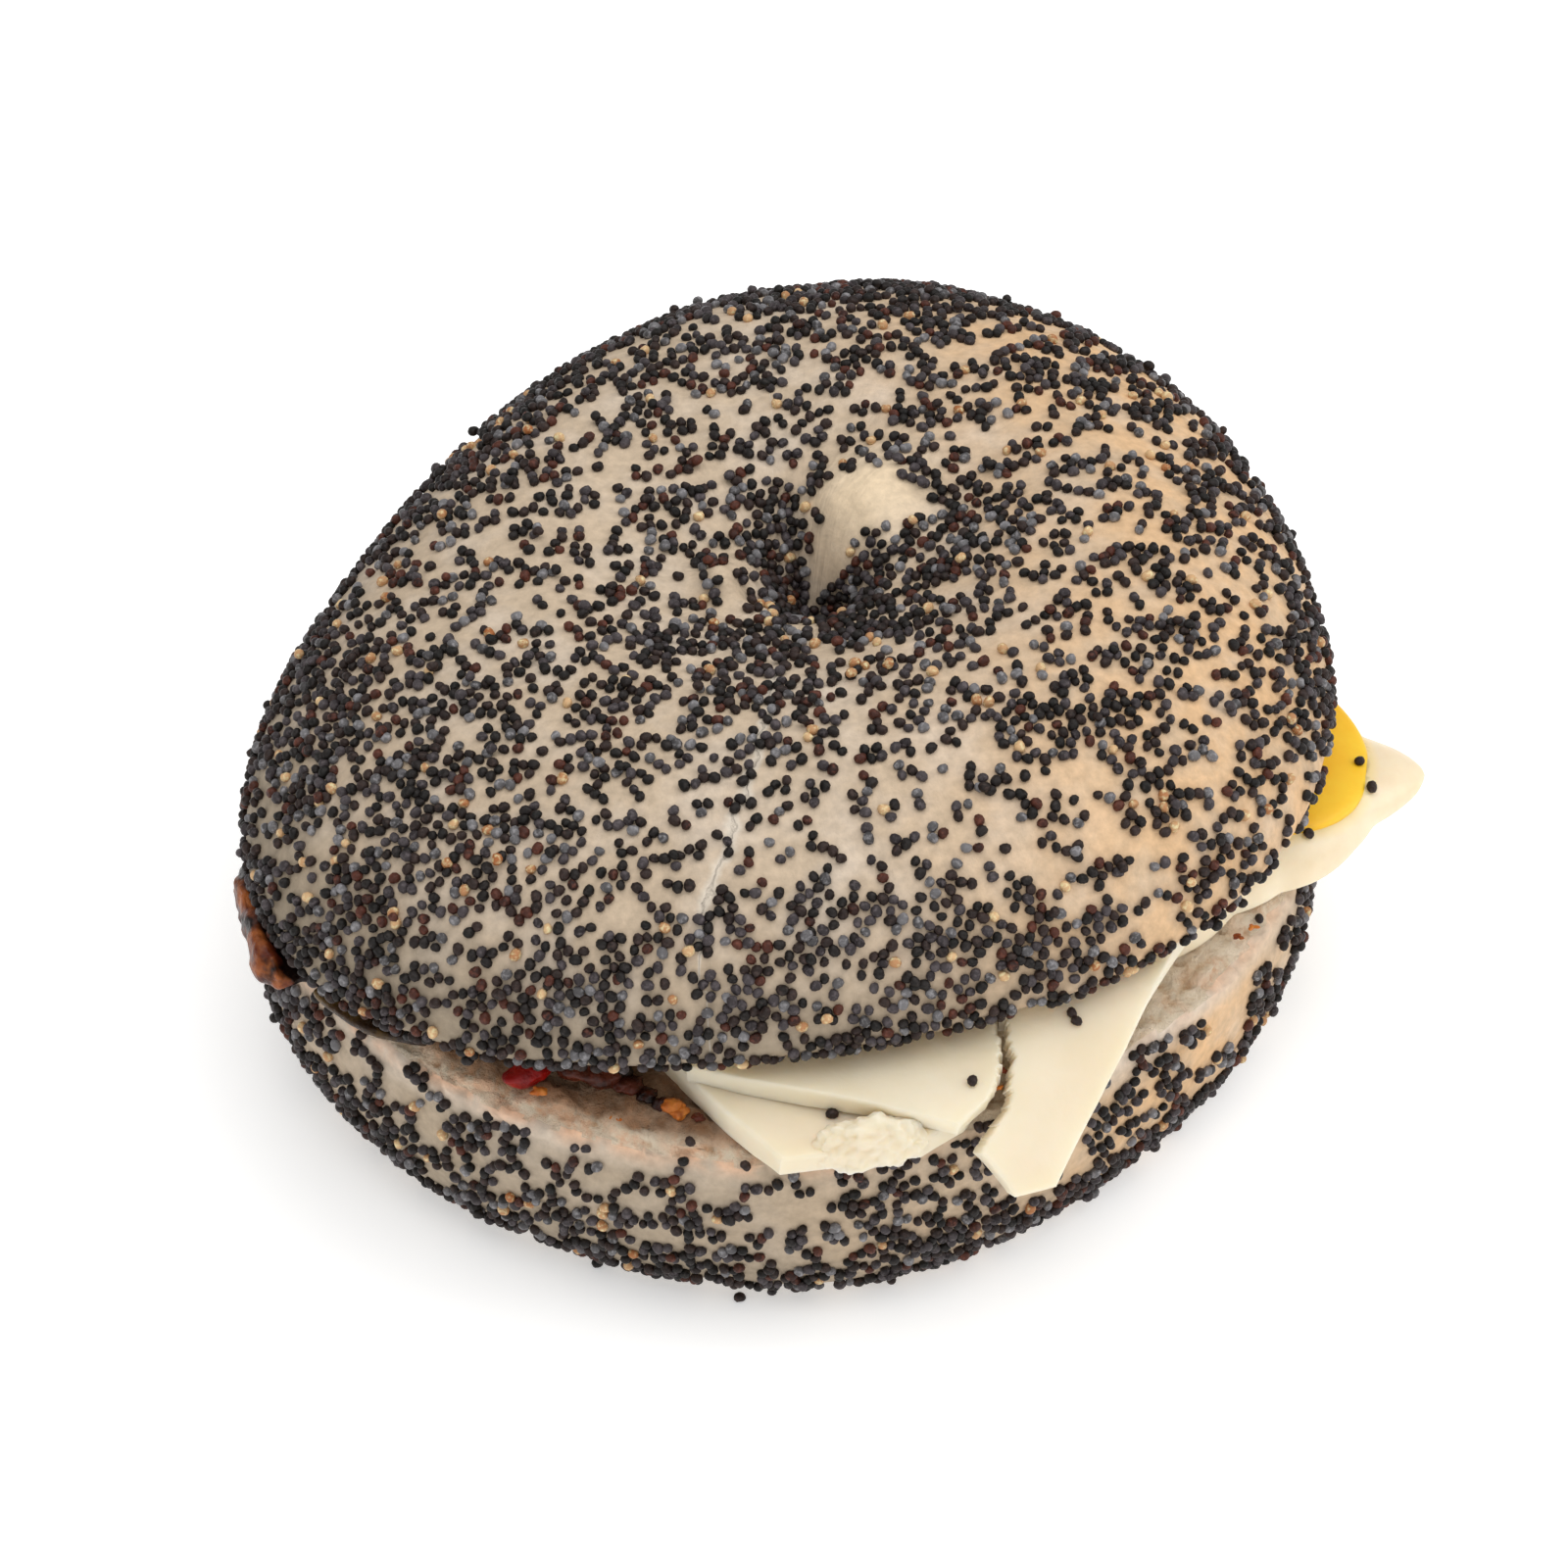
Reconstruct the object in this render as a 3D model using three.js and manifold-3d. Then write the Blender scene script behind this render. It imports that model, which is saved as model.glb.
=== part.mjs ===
// A poppy seed bagel, cut in two and closed again over cheese, egg, dried tomato and pepper.
//
// Units are millimetres. Z is up, X runs to the right and Y runs away from the side where the cheese
// hangs out. The origin is the middle of the flat spot that the bagel rests on.

import * as THREE from 'three';
import { mergeVertices } from 'three/addons/utils/BufferGeometryUtils.js';
import Module from 'manifold-3d';

const wasm = await Module();
wasm.setup();

// Driving dimensions of the two halves. Each outline is a circle with a few slow waves in it, and each
// push is a round patch of crust that is raised or sunk by its height at its middle.

const HALF_SEGMENTS = 52;
const NEIGHBOUR_GAP = 0.3;

const TOP = {
  radius: 50.5,
  crestShare: 0.5,
  height: 18.8,
  rimTuck: 0.9,
  rimLift: 1.1,
  waves: [
    { lobes: 2, cos: -0.026, sin: 0.053 },
    { lobes: 3, cos: -0.002, sin: -0.056 },
    { lobes: 4, cos: -0.009, sin: 0.002 },
  ],
  pushes: [
    { name: 'wide dimple', x: 1.5, y: -1.5, radius: 24, height: -4.4 },
    { name: 'pit', x: 2.8, y: 0.3, radius: 8, height: -5.4 },
    { name: 'crease', x: 0.6, y: 4.6, radius: 5, height: -2.8 },
    { name: 'end of the crease', x: 1.1, y: 9.5, radius: 5, height: -1.6 },
    { name: 'bulge', x: 6.8, y: 7.2, radius: 8, height: 2.6 },
    { name: 'end of the bulge', x: 11, y: 11, radius: 8, height: 1.2 },
    { name: 'small bump', x: -5.5, y: -0.7, radius: 5, height: 1.3 },
    { name: 'left shoulder', x: -26, y: 20, radius: 20, height: 0.8 },
    { name: 'right shoulder', x: 30, y: 1, radius: 18, height: 0.7 },
  ],
  tiltX: -3.4,
  tiltY: -5.2,
  place: [1.8, 6.9, 26.8],
};

const BOTTOM = {
  radius: 46.9,
  height: 22,
  widestAt: 16,
  baseTuck: 7.3,
  rimTuck: 0.3,
  waves: [
    { lobes: 2, cos: 0.01, sin: 0.013 },
    { lobes: 3, cos: 0.016, sin: -0.025 },
    { lobes: 4, cos: 0.026, sin: 0.019 },
  ],
  navel: { x: 8, y: 4, ballRadius: 9, depth: 2.4 },
};

// Seeds that stay on the crust. They are true to size, and there are fewer of them than on a real bagel.

const SEED = { length: 1.25, width: 1.0, height: 0.85, sunk: 0.25, jitter: 0.035 };
const TOP_SEEDS = { count: 150, lowest: 1.6, bareSectors: [{ from: 186, to: 216, below: 7 }] };
const BOTTOM_SEEDS = {
  count: 72,
  lowest: 1.5,
  highest: 17,
  bareSectors: [
    { from: 184, to: 216, above: 12 },
    { from: 262, to: 330, above: 11 },
  ],
};

// The cheese is two slices, the upper one torn in two. A slice lies flat inside, bends over the rim of
// the bottom half and hangs out. Its plan is drawn by a left and a right edge, from the inside out.

const CHEESE = {
  left: {
    thickness: 3.0,
    drape: { heading: -80, rim: 46, height: 25.35, lean: 0.5, slopeIn: 0, slopeOut: 48, bendFrom: -1, bendTo: 9 },
    leftEdge: [[-7, 12], [-11, -10], [-13, -27], [-11, -35.3], [-8.5, -38.8], [-5, -43.4], [-0.1, -48.9]],
    rightEdge: [[15, 14], [16, -8], [16, -26], [17, -36], [17.2, -41], [16, -43.6], [12.4, -46.8]],
    crest: { from: [2.6, -48.2], to: [8.6, -47.8], radius: 2.4, height: 1.8 },
  },
  middle: {
    thickness: 2.3,
    drape: { heading: -65, rim: 46, height: 28.35, lean: 2.4, slopeIn: -1, slopeOut: 38, bendFrom: -6, bendTo: 9 },
    leftEdge: [[-4, -31], [-7.2, -35.5], [-8.4, -39.7], [-3.4, -41.6], [5.4, -44.3], [10.2, -45.6], [15.2, -46.8]],
    rightEdge: [[15.8, -14], [16.2, -22], [17.6, -30], [18.8, -37.5], [18.8, -41], [18.2, -43.6], [15.9, -45.7]],
  },
  right: {
    thickness: 2.8,
    drape: { heading: -65, rim: 46, height: 27.6, lean: 3.3, slopeIn: -5.5, slopeOut: 58, bendFrom: -10, bendTo: 7 },
    leftEdge: [[18, -18], [18.6, -27], [19.7, -35.8], [20.4, -39.8], [20.1, -43.6], [17.4, -47.2], [20.5, -49]],
    rightEdge: [[42, -10], [40.2, -16], [37.8, -22.4], [35.7, -27.2], [30.3, -37.9], [27.7, -42.2], [24.1, -47.6]],
  },
};
const CHEESE_COLUMNS = 7;

// The egg is a soft slice with a firm yolk. Its outline is given round its middle, from the outer tip.

const EGG = {
  middle: [39, -4],
  floor: 22.3,
  thickness: 5.2,
  edgeThickness: 1.5,
  rimDrop: { from: 40, perMillimetre: 0.07, steeperFrom: 50, steeper: 0.14 },
  outline: [
    [59.6, 1.3], [58.6, 2.9], [56.4, 4.5], [54.2, 5.2], [52, 10], [46, 15], [37, 16], [28, 12],
    [22, 4], [20, -6], [22.5, -16], [28.5, -21.5], [34.6, -23], [37.4, -21.1], [40.8, -17],
    [45.3, -14.1], [48.6, -12.7], [52.3, -8.7], [54.3, -5.4], [56.4, -3.7], [58.6, -1.2],
  ],
  rings: [0.28, 0.52, 0.74, 0.9, 1],
  segments: 40,
};
const YOLK = { middle: [42.5, 0.3], radius: 11.3, thickness: 4.2, segments: 28 };

// Small pieces in the gap between the halves.

const DRIED_TOMATO = {
  leftEdge: [[-35.5, -14.5], [-42.8, -17.4], [-46.4, -17.6], [-48.9, -11.6], [-49.6, -13.6]],
  rightEdge: [[-33, -20.5], [-38.8, -23.6], [-42.6, -25.2], [-45, -25.8], [-46.8, -24]],
  columns: 6,
  inside: { height: 22.95, thickness: 1.1 },
  outside: { height: 23, thickness: 3.8, fromRow: 0.6, toRow: 0.8 },
};
const PEPPER_STRIP = {
  path: [[-41.4, -26.8, 23.2], [-39.4, -29.2, 23.3], [-36.4, -31.6, 23.4], [-32, -32.6, 23.5]],
  width: 3.2,
  thickness: 1.3,
  steps: 10,
};
const LUMPS = {
  red_pepper: { middle: [-22.3, -37.2, 23.5], size: [5.4, 2.6, 2.3], turn: 20, seed: 3 },
  dark_tomato: { middle: [-16.6, -37.0, 24.0], size: [7.4, 4.6, 3], turn: -12, seed: 7 },
};

const FINISH = {
  crust: { color: 0xd8c6a4, roughness: 0.9 },
  cheese: { color: 0xefe3bd, roughness: 0.55 },
  eggWhite: { color: 0xf2e9d6, roughness: 0.4 },
  eggYolk: { color: 0xf7bf22, roughness: 0.55 },
  tomato: { color: 0x7a2c16, roughness: 0.4 },
  pepper: { color: 0x8c6a25, roughness: 0.35 },
  redPepper: { color: 0x9c1410, roughness: 0.25 },
};

// Small helpers.

const { degToRad, lerp, smoothstep } = THREE.MathUtils;

/** A repeatable stream of numbers between 0 and 1. */
function stream(seed) {
  let state = seed;
  return () => {
    state = (state * 16807) % 2147483647;
    return state / 2147483647;
  };
}

/** How far an outline stands out at an angle, as a share of its radius. */
function waveShare(waves, angle) {
  return waves.reduce(
    (share, w) => share + w.cos * Math.cos(w.lobes * angle) + w.sin * Math.sin(w.lobes * angle), 1);
}

/** The height that all pushes together add at a place. */
function pushHeight(pushes, x, y) {
  return pushes.reduce((sum, push) => {
    const t = 1 - Math.hypot(x - push.x, y - push.y) / push.radius;
    return t > 0 ? sum + push.height * t * t * (3 - 2 * t) : sum;
  }, 0);
}

/** Moves every vertex of a geometry by a rule that takes and returns a place. */
function reshape(geometry, rule) {
  const position = geometry.getAttribute('position');
  for (let i = 0; i < position.count; i++) {
    position.setXYZ(i, ...rule([position.getX(i), position.getY(i), position.getZ(i)]));
  }
  return geometry;
}

/** The same geometry with shared vertices and no empty triangles, as a closed body needs. */
function welded(geometry) {
  for (const name of ['normal', 'uv']) geometry.deleteAttribute(name);
  const merged = mergeVertices(geometry, 1e-3);
  const index = merged.getIndex().array;
  const kept = [];
  for (let i = 0; i < index.length; i += 3) {
    const [a, b, c] = [index[i], index[i + 1], index[i + 2]];
    if (a !== b && b !== c && c !== a) kept.push(a, b, c);
  }
  merged.setIndex(kept);
  return merged;
}

/** A closed geometry as a solid that can be joined and cut. */
function toSolid(geometry) {
  const closed = welded(geometry);
  return new wasm.Manifold(new wasm.Mesh({
    numProp: 3,
    vertProperties: Float32Array.from(closed.getAttribute('position').array),
    triVerts: Uint32Array.from(closed.getIndex().array),
  }));
}

/** A solid back as a geometry. */
function toGeometry(solid) {
  const mesh = solid.getMesh();
  const geometry = new THREE.BufferGeometry();
  geometry.setAttribute('position', new THREE.BufferAttribute(mesh.vertProperties, 3));
  geometry.setIndex(Array.from(mesh.triVerts));
  return geometry;
}

/** A named part with its own material. */
function part(name, geometry, finish) {
  const shown = welded(geometry);
  shown.computeVertexNormals();
  const mesh = new THREE.Mesh(shown, new THREE.MeshStandardMaterial({ ...finish, metalness: 0 }));
  mesh.name = name;
  return mesh;
}

/** A body whose rows of points are joined into a skin, with both ends closed by a middle point. */
function ringBody(rings, firstMiddle, lastMiddle) {
  const count = rings[0].length;
  const points = [firstMiddle, ...rings.flat(), lastMiddle];
  const last = points.length - 1;
  const index = [];
  for (let i = 0; i < count; i++) {
    const next = (i + 1) % count;
    index.push(0, 1 + next, 1 + i);
    for (let ring = 0; ring < rings.length - 1; ring++) {
      const low = 1 + ring * count;
      const high = low + count;
      index.push(low + i, low + next, high + i, low + next, high + next, high + i);
    }
    const end = last - count;
    index.push(end + i, end + next, last);
  }
  const geometry = new THREE.BufferGeometry();
  geometry.setAttribute('position', new THREE.Float32BufferAttribute(points.flat(), 3));
  geometry.setIndex(index);
  return geometry;
}

/** A slab between an upper and a lower grid of points with the same rows and columns. */
function gridBody(upper, lower) {
  const rows = upper.length;
  const columns = upper[0].length;
  const points = [...upper.flat(), ...lower.flat()];
  const at = (row, column, under) => row * columns + column + (under ? rows * columns : 0);
  const index = [];
  const quad = (a, b, c, d) => index.push(a, b, c, a, c, d);
  for (let r = 0; r < rows - 1; r++) {
    for (let c = 0; c < columns - 1; c++) {
      quad(at(r, c), at(r + 1, c), at(r + 1, c + 1), at(r, c + 1));
      quad(at(r, c, 1), at(r, c + 1, 1), at(r + 1, c + 1, 1), at(r + 1, c, 1));
    }
    quad(at(r, 0), at(r, 0, 1), at(r + 1, 0, 1), at(r + 1, 0));
    quad(at(r, columns - 1), at(r + 1, columns - 1), at(r + 1, columns - 1, 1), at(r, columns - 1, 1));
  }
  for (let c = 0; c < columns - 1; c++) {
    quad(at(0, c), at(0, c + 1), at(0, c + 1, 1), at(0, c, 1));
    quad(at(rows - 1, c), at(rows - 1, c, 1), at(rows - 1, c + 1, 1), at(rows - 1, c + 1));
  }
  const geometry = new THREE.BufferGeometry();
  geometry.setAttribute('position', new THREE.Float32BufferAttribute(points.flat(), 3));
  geometry.setIndex(index);
  return geometry;
}

// Bread. A half starts as a turned body with a round outline. Its rule then gives the true outline, in
// step with the angle, and the pushes.

/** Turns a profile of [radius, height] points round the Z axis. */
function turned(profile, segments) {
  const geometry = new THREE.LatheGeometry(profile.map(([r, z]) => new THREE.Vector2(r, z)), segments);
  return geometry.rotateX(Math.PI / 2);
}

/** A point of the top half's crust, as [radius, height], from the cut rim at 0 to the middle at 1. */
function topProfile(share) {
  const crest = TOP.radius * TOP.crestShare;
  const domeShare = 0.6;
  if (share >= domeShare) return [crest * (1 - share) / (1 - domeShare), TOP.height];
  const angle = (share / domeShare) * Math.PI / 2;
  const rise = TOP.height * Math.sin(angle);
  const tuck = TOP.rimTuck * Math.max(0, 1 - rise / TOP.rimLift);
  return [crest + (TOP.radius - crest) * Math.cos(angle) - tuck, rise];
}

function topRule([x, y, z]) {
  const share = waveShare(TOP.waves, Math.atan2(y, x));
  const [px, py] = [x * share, y * share];
  const lift = z > 0.5 * TOP.height ? pushHeight(TOP.pushes, px, py) : 0;
  return [px, py, z + lift];
}

/** A point of the bottom half's crust, as [radius, height], from the base at 0 to the cut rim at 1. */
function bottomProfile(share) {
  const wallShare = 0.85;
  if (share <= wallShare) {
    const angle = (share / wallShare) * Math.PI / 2;
    return [
      BOTTOM.radius - BOTTOM.baseTuck * (1 - Math.sin(angle)),
      BOTTOM.widestAt * (1 - Math.cos(angle)),
    ];
  }
  const rise = (share - wallShare) / (1 - wallShare);
  return [BOTTOM.radius - BOTTOM.rimTuck * rise * rise, lerp(BOTTOM.widestAt, BOTTOM.height, rise)];
}

function bottomRule([x, y, z]) {
  const share = waveShare(BOTTOM.waves, Math.atan2(y, x));
  return [x * share, y * share, z];
}

/** Shares along a profile that cut its turned area into equal bands, one for each seed. */
function evenShares(profile, count, from, to) {
  const steps = 400;
  const areas = [0];
  for (let i = 1; i <= steps; i++) {
    const [a, b] = [profile(lerp(from, to, (i - 1) / steps)), profile(lerp(from, to, i / steps))];
    areas.push(areas[i - 1] + Math.hypot(a[0] - b[0], a[1] - b[1]) * (a[0] + b[0]) / 2);
  }
  const shares = [];
  for (let i = 0, step = 0; i < count; i++) {
    const wanted = areas[steps] * (i + 0.5) / count;
    while (areas[step] < wanted) step++;
    shares.push(lerp(from, to, step / steps));
  }
  return shares;
}

/** One seed, lying on the faceted crust below a place, turned about the crust's normal. */
function seedSolid(crust, place, normal, turn) {
  const above = place.clone().addScaledVector(normal, 3);
  const hit = new THREE.Raycaster(above, normal.clone().negate()).intersectObject(crust)[0];
  const seed = new THREE.IcosahedronGeometry(0.5, 0).scale(SEED.length, SEED.width, SEED.height);
  const upright = new THREE.Quaternion().setFromUnitVectors(new THREE.Vector3(0, 0, 1), normal);
  const spin = new THREE.Quaternion().setFromAxisAngle(new THREE.Vector3(0, 0, 1), turn);
  seed.applyQuaternion(upright.multiply(spin));
  const centre = hit.point.addScaledVector(normal, SEED.height / 2 - SEED.sunk);
  return toSolid(seed.translate(...centre.toArray()));
}

/** Seeds spread evenly over a crust along a sunflower spiral, each a little off its place. */
function seedsOn(body, profile, rule, plan, from, to, randomSeed) {
  const random = stream(randomSeed);
  const crust = new THREE.Mesh(toGeometry(body));
  const goldenAngle = Math.PI * (3 - Math.sqrt(5));
  const at = (share, angle) => {
    const [r, z] = profile(share);
    return new THREE.Vector3(...rule([r * Math.cos(angle), r * Math.sin(angle), z]));
  };
  const bare = (angle, height) => plan.bareSectors.some((s) => {
    const degrees = (THREE.MathUtils.radToDeg(angle) % 360 + 360) % 360;
    const inside = degrees > s.from && degrees < s.to;
    return inside && (s.below === undefined ? height > s.above : height < s.below);
  });
  const shares = evenShares(profile, plan.count, from, to);
  return shares.flatMap((share, i) => {
    const angle = i * goldenAngle + (random() - 0.5) * SEED.jitter;
    const turn = random() * Math.PI;
    const place = at(share, angle);
    const tooHigh = plan.highest !== undefined && place.z > plan.highest;
    if (place.z < plan.lowest || tooHigh || bare(angle, place.z)) return [];
    const step = 0.004;
    const along = at(share + step, angle).sub(at(share - step, angle));
    const around = at(share, angle + step).sub(at(share, angle - step));
    return [seedSolid(crust, place, around.cross(along).normalize(), turn)];
  });
}

/** A crust with its seeds fused on. */
function seeded(body, seeds) {
  return seeds.reduce((joined, seed) => joined.add(seed), body);
}

function topHalf() {
  const crust = Array.from({ length: 18 }, (_, i) => topProfile(i / 17));
  crust[crust.length - 1][0] = 0;
  const underside = [[0, 0], [TOP.radius * 0.4, 0], [TOP.radius * 0.75, 0]];
  const body = toSolid(reshape(turned([...underside, ...crust], HALF_SEGMENTS), topRule));
  return toGeometry(seeded(body, seedsOn(body, topProfile, topRule, TOP_SEEDS, 0.02, 0.985, 11)));
}

function bottomHalf() {
  const base = [[0, 0], [BOTTOM.radius * 0.45, 0]];
  const crust = Array.from({ length: 10 }, (_, i) => bottomProfile(i / 9));
  const cutFace = [[BOTTOM.radius * 0.6, BOTTOM.height], [0, BOTTOM.height]];
  const body = toSolid(reshape(turned([...base, ...crust, ...cutFace], HALF_SEGMENTS), bottomRule));
  const { x, y, ballRadius, depth } = BOTTOM.navel;
  const ball = new THREE.IcosahedronGeometry(ballRadius, 4).translate(x, y, depth - ballRadius);
  const withNavel = body.subtract(toSolid(ball));
  const seeds = seedsOn(withNavel, bottomProfile, bottomRule, BOTTOM_SEEDS, 0.02, 0.98, 23);
  return toGeometry(seeded(withNavel, seeds));
}

// Fillings.

/** How far a slice has fallen on its way out, when its slope turns evenly from one angle to another. */
function fallAlong({ slopeIn, slopeOut, bendFrom, bendTo }, s) {
  const [first, last] = [degToRad(slopeIn), degToRad(slopeOut)];
  const turn = (last - first) / (bendTo - bendFrom);
  const inBend = THREE.MathUtils.clamp(s, bendFrom, bendTo);
  const bent = Math.log(Math.cos(first) / Math.cos(first + turn * (inBend - bendFrom))) / turn;
  return Math.min(0, s - bendFrom) * Math.tan(first) + bent + Math.max(0, s - bendTo) * Math.tan(last);
}

/** The height of a draped slice's upper face above any place in plan. */
function drapedHeight(drape) {
  const heading = degToRad(drape.heading);
  const [ux, uy] = [Math.cos(heading), Math.sin(heading)];
  return (x, y) => {
    const s = x * ux + y * uy - drape.rim;
    const t = y * ux - x * uy;
    return drape.height + fallAlong(drape, 0) - fallAlong(drape, s) + t * Math.tan(degToRad(drape.lean));
  };
}

/** A place below a face, measured square to it. */
function below(height, x, y, depth) {
  const step = 0.05;
  const dx = (height(x + step, y) - height(x - step, y)) / (2 * step);
  const dy = (height(x, y + step) - height(x, y - step)) / (2 * step);
  const scale = depth / Math.hypot(dx, dy, 1);
  return [x + dx * scale, y + dy * scale, height(x, y) - scale];
}

/** Plan points across a piece whose left and right edges are given row by row. */
function planRows(leftEdge, rightEdge, columns) {
  return leftEdge.map((left, row) => Array.from({ length: columns }, (_, c) => {
    const share = c / (columns - 1);
    return [lerp(left[0], rightEdge[row][0], share), lerp(left[1], rightEdge[row][1], share)];
  }));
}

/** Rows twice as close, with a new one halfway between each two. */
function doubled(edge) {
  return edge.flatMap((point, i) => i === 0 ? [point] : [
    [(edge[i - 1][0] + point[0]) / 2, (edge[i - 1][1] + point[1]) / 2], point,
  ]);
}

/** The height of a torn, lifted ridge along a line, where a slice has one. */
function crestHeight(crest, x, y) {
  if (!crest) return 0;
  const line = new THREE.Line3(new THREE.Vector3(...crest.from, 0), new THREE.Vector3(...crest.to, 0));
  const place = new THREE.Vector3(x, y, 0);
  const t = 1 - line.closestPointToPoint(place, true, new THREE.Vector3()).distanceTo(place) / crest.radius;
  return t > 0 ? crest.height * t * t * (3 - 2 * t) : 0;
}

function cheeseSlice({ thickness, drape, leftEdge, rightEdge, crest }) {
  const height = drapedHeight(drape);
  const rows = planRows(doubled(leftEdge), doubled(rightEdge), CHEESE_COLUMNS);
  const upper = rows.map((row) => row.map(([x, y]) => [x, y, height(x, y) + crestHeight(crest, x, y)]));
  const lower = rows.map((row) => row.map(([x, y]) => below(height, x, y, thickness)));
  return gridBody(upper, lower);
}

/** The height of the egg's upper face without its rounded edge. */
function eggFace(x) {
  const { from, perMillimetre, steeperFrom, steeper } = EGG.rimDrop;
  return EGG.floor + EGG.thickness - Math.max(0, x - from) * perMillimetre - Math.max(0, x - steeperFrom) * steeper;
}

function eggWhiteBody() {
  const outline = new THREE.CatmullRomCurve3(
    EGG.outline.map(([x, y]) => new THREE.Vector3(x, y, 0)), true, 'centripetal').getPoints(EGG.segments);
  outline.pop();
  const [mx, my] = EGG.middle;
  const ring = (share, heightAt) => outline.map((p) => {
    const [x, y] = [lerp(mx, p.x, share), lerp(my, p.y, share)];
    return [x, y, heightAt(x, share)];
  });
  const soft = (share) => Math.sqrt(1 - share ** 6);
  const under = EGG.rings.map((share) => ring(share, () => EGG.floor));
  const over = EGG.rings.toReversed().map((share) => ring(share, (x) => {
    const edge = EGG.floor + EGG.edgeThickness;
    return edge + (eggFace(x) - edge) * soft(share);
  }));
  return ringBody([...under, ...over], [mx, my, EGG.floor], [mx, my, eggFace(mx)]);
}

/** The yolk, or the hollow that it sits in when it is grown by the gap. */
function yolkBody(grow, extraHeight) {
  const radius = YOLK.radius + grow;
  const depth = YOLK.thickness + grow;
  const profile = [[0, -depth], [radius * 0.6, -depth], [radius * 0.9, -depth * 0.7], [radius, -depth * 0.25]];
  profile.push([radius, extraHeight], [radius * 0.5, extraHeight], [0, extraHeight]);
  const [mx, my] = YOLK.middle;
  return reshape(turned(profile, YOLK.segments), ([x, y, z]) => [x + mx, y + my, z + eggFace(x + mx)]);
}

function eggWhite() {
  return toGeometry(toSolid(eggWhiteBody()).subtract(toSolid(yolkBody(NEIGHBOUR_GAP, 4))));
}

/** A leathery flap, thin where the halves pinch it and thick where it curls outside. */
function driedTomato() {
  const { inside, outside } = DRIED_TOMATO;
  const rows = planRows(doubled(DRIED_TOMATO.leftEdge), doubled(DRIED_TOMATO.rightEdge), DRIED_TOMATO.columns);
  const face = (side) => rows.map((row, r) => row.map(([x, y], c) => {
    const out = smoothstep(r / (rows.length - 1), outside.fromRow, outside.toRow);
    const pinch = c === 0 || c === DRIED_TOMATO.columns - 1 ? 0.5 : 1;
    const half = lerp(inside.thickness, outside.thickness * pinch, out) / 2;
    return [x, y, lerp(inside.height, outside.height, out) + side * half];
  }));
  return gridBody(face(1), face(-1));
}

function pepperStrip() {
  const { width, thickness } = PEPPER_STRIP;
  const path = new THREE.CatmullRomCurve3(PEPPER_STRIP.path.map((p) => new THREE.Vector3(...p)));
  const at = (u, side, lift) => {
    const [p, t] = [path.getPoint(u), path.getTangent(u)];
    return [p.x - t.y * side * width / 2, p.y + t.x * side * width / 2, p.z + lift * thickness / 2];
  };
  const face = (lift) => Array.from({ length: PEPPER_STRIP.steps + 1 }, (_, i) => (
    [-1, -0.4, 0.4, 1].map((side) => at(i / PEPPER_STRIP.steps, side, lift * (1 - 0.4 * side * side)))));
  return gridBody(face(1), face(-1));
}

/** An uneven lump of soft vegetable. */
function lump({ middle, size, turn, seed }) {
  const random = stream(seed * 1000 + 17);
  const geometry = welded(new THREE.IcosahedronGeometry(0.5, 1));
  reshape(geometry, ([x, y, z]) => {
    const grow = 0.86 + 0.14 * random();
    return [x * size[0] * grow, y * size[1] * grow, z * size[2] * grow];
  });
  return geometry.rotateZ(degToRad(turn)).translate(...middle);
}

// The bagel.

const bagel = new THREE.Group();

const top = part('top_half', topHalf(), FINISH.crust);
top.rotation.set(degToRad(TOP.tiltX), degToRad(TOP.tiltY), 0);
top.position.set(...TOP.place);

const filling = new THREE.Group();
filling.add(
  part('cheese_left', cheeseSlice(CHEESE.left), FINISH.cheese),
  part('cheese_middle', cheeseSlice(CHEESE.middle), FINISH.cheese),
  part('cheese_right', cheeseSlice(CHEESE.right), FINISH.cheese),
  part('egg_white', eggWhite(), FINISH.eggWhite),
  part('egg_yolk', yolkBody(0, 0), FINISH.eggYolk),
  part('dried_tomato', driedTomato(), FINISH.tomato),
  part('pepper_strip', pepperStrip(), FINISH.pepper),
  part('red_pepper', lump(LUMPS.red_pepper), FINISH.redPepper),
  part('dark_tomato', lump(LUMPS.dark_tomato), FINISH.tomato),
);

bagel.add(part('bottom_half', bottomHalf(), FINISH.crust), filling, top);

export default bagel;
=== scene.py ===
# %% [markdown]
# # A filled poppy seed bagel
# A boiled and baked ring of dough whose hole has closed to a pit, cut across and shut again over cheese,
# egg and roasted vegetables. The solid model fixes where every piece sits. This lesson gives each piece
# its real surface: thousands of seeds on a matte crust, a torn crumb, waxy cheese and a soft egg.

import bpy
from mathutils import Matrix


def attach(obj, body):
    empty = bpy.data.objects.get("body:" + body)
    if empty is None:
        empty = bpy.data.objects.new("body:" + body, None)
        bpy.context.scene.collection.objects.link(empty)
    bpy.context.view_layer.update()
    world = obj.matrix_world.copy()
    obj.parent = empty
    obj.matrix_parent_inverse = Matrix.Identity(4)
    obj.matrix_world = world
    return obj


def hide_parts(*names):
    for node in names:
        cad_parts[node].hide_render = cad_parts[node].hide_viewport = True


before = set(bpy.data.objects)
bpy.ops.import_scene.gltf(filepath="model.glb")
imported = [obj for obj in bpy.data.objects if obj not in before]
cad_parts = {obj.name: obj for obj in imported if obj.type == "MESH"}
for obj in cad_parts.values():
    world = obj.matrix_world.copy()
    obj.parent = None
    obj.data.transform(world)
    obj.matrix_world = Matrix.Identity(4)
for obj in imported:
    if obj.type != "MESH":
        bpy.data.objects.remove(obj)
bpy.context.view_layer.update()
print("solid pieces:", ", ".join(sorted(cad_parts)))

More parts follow.
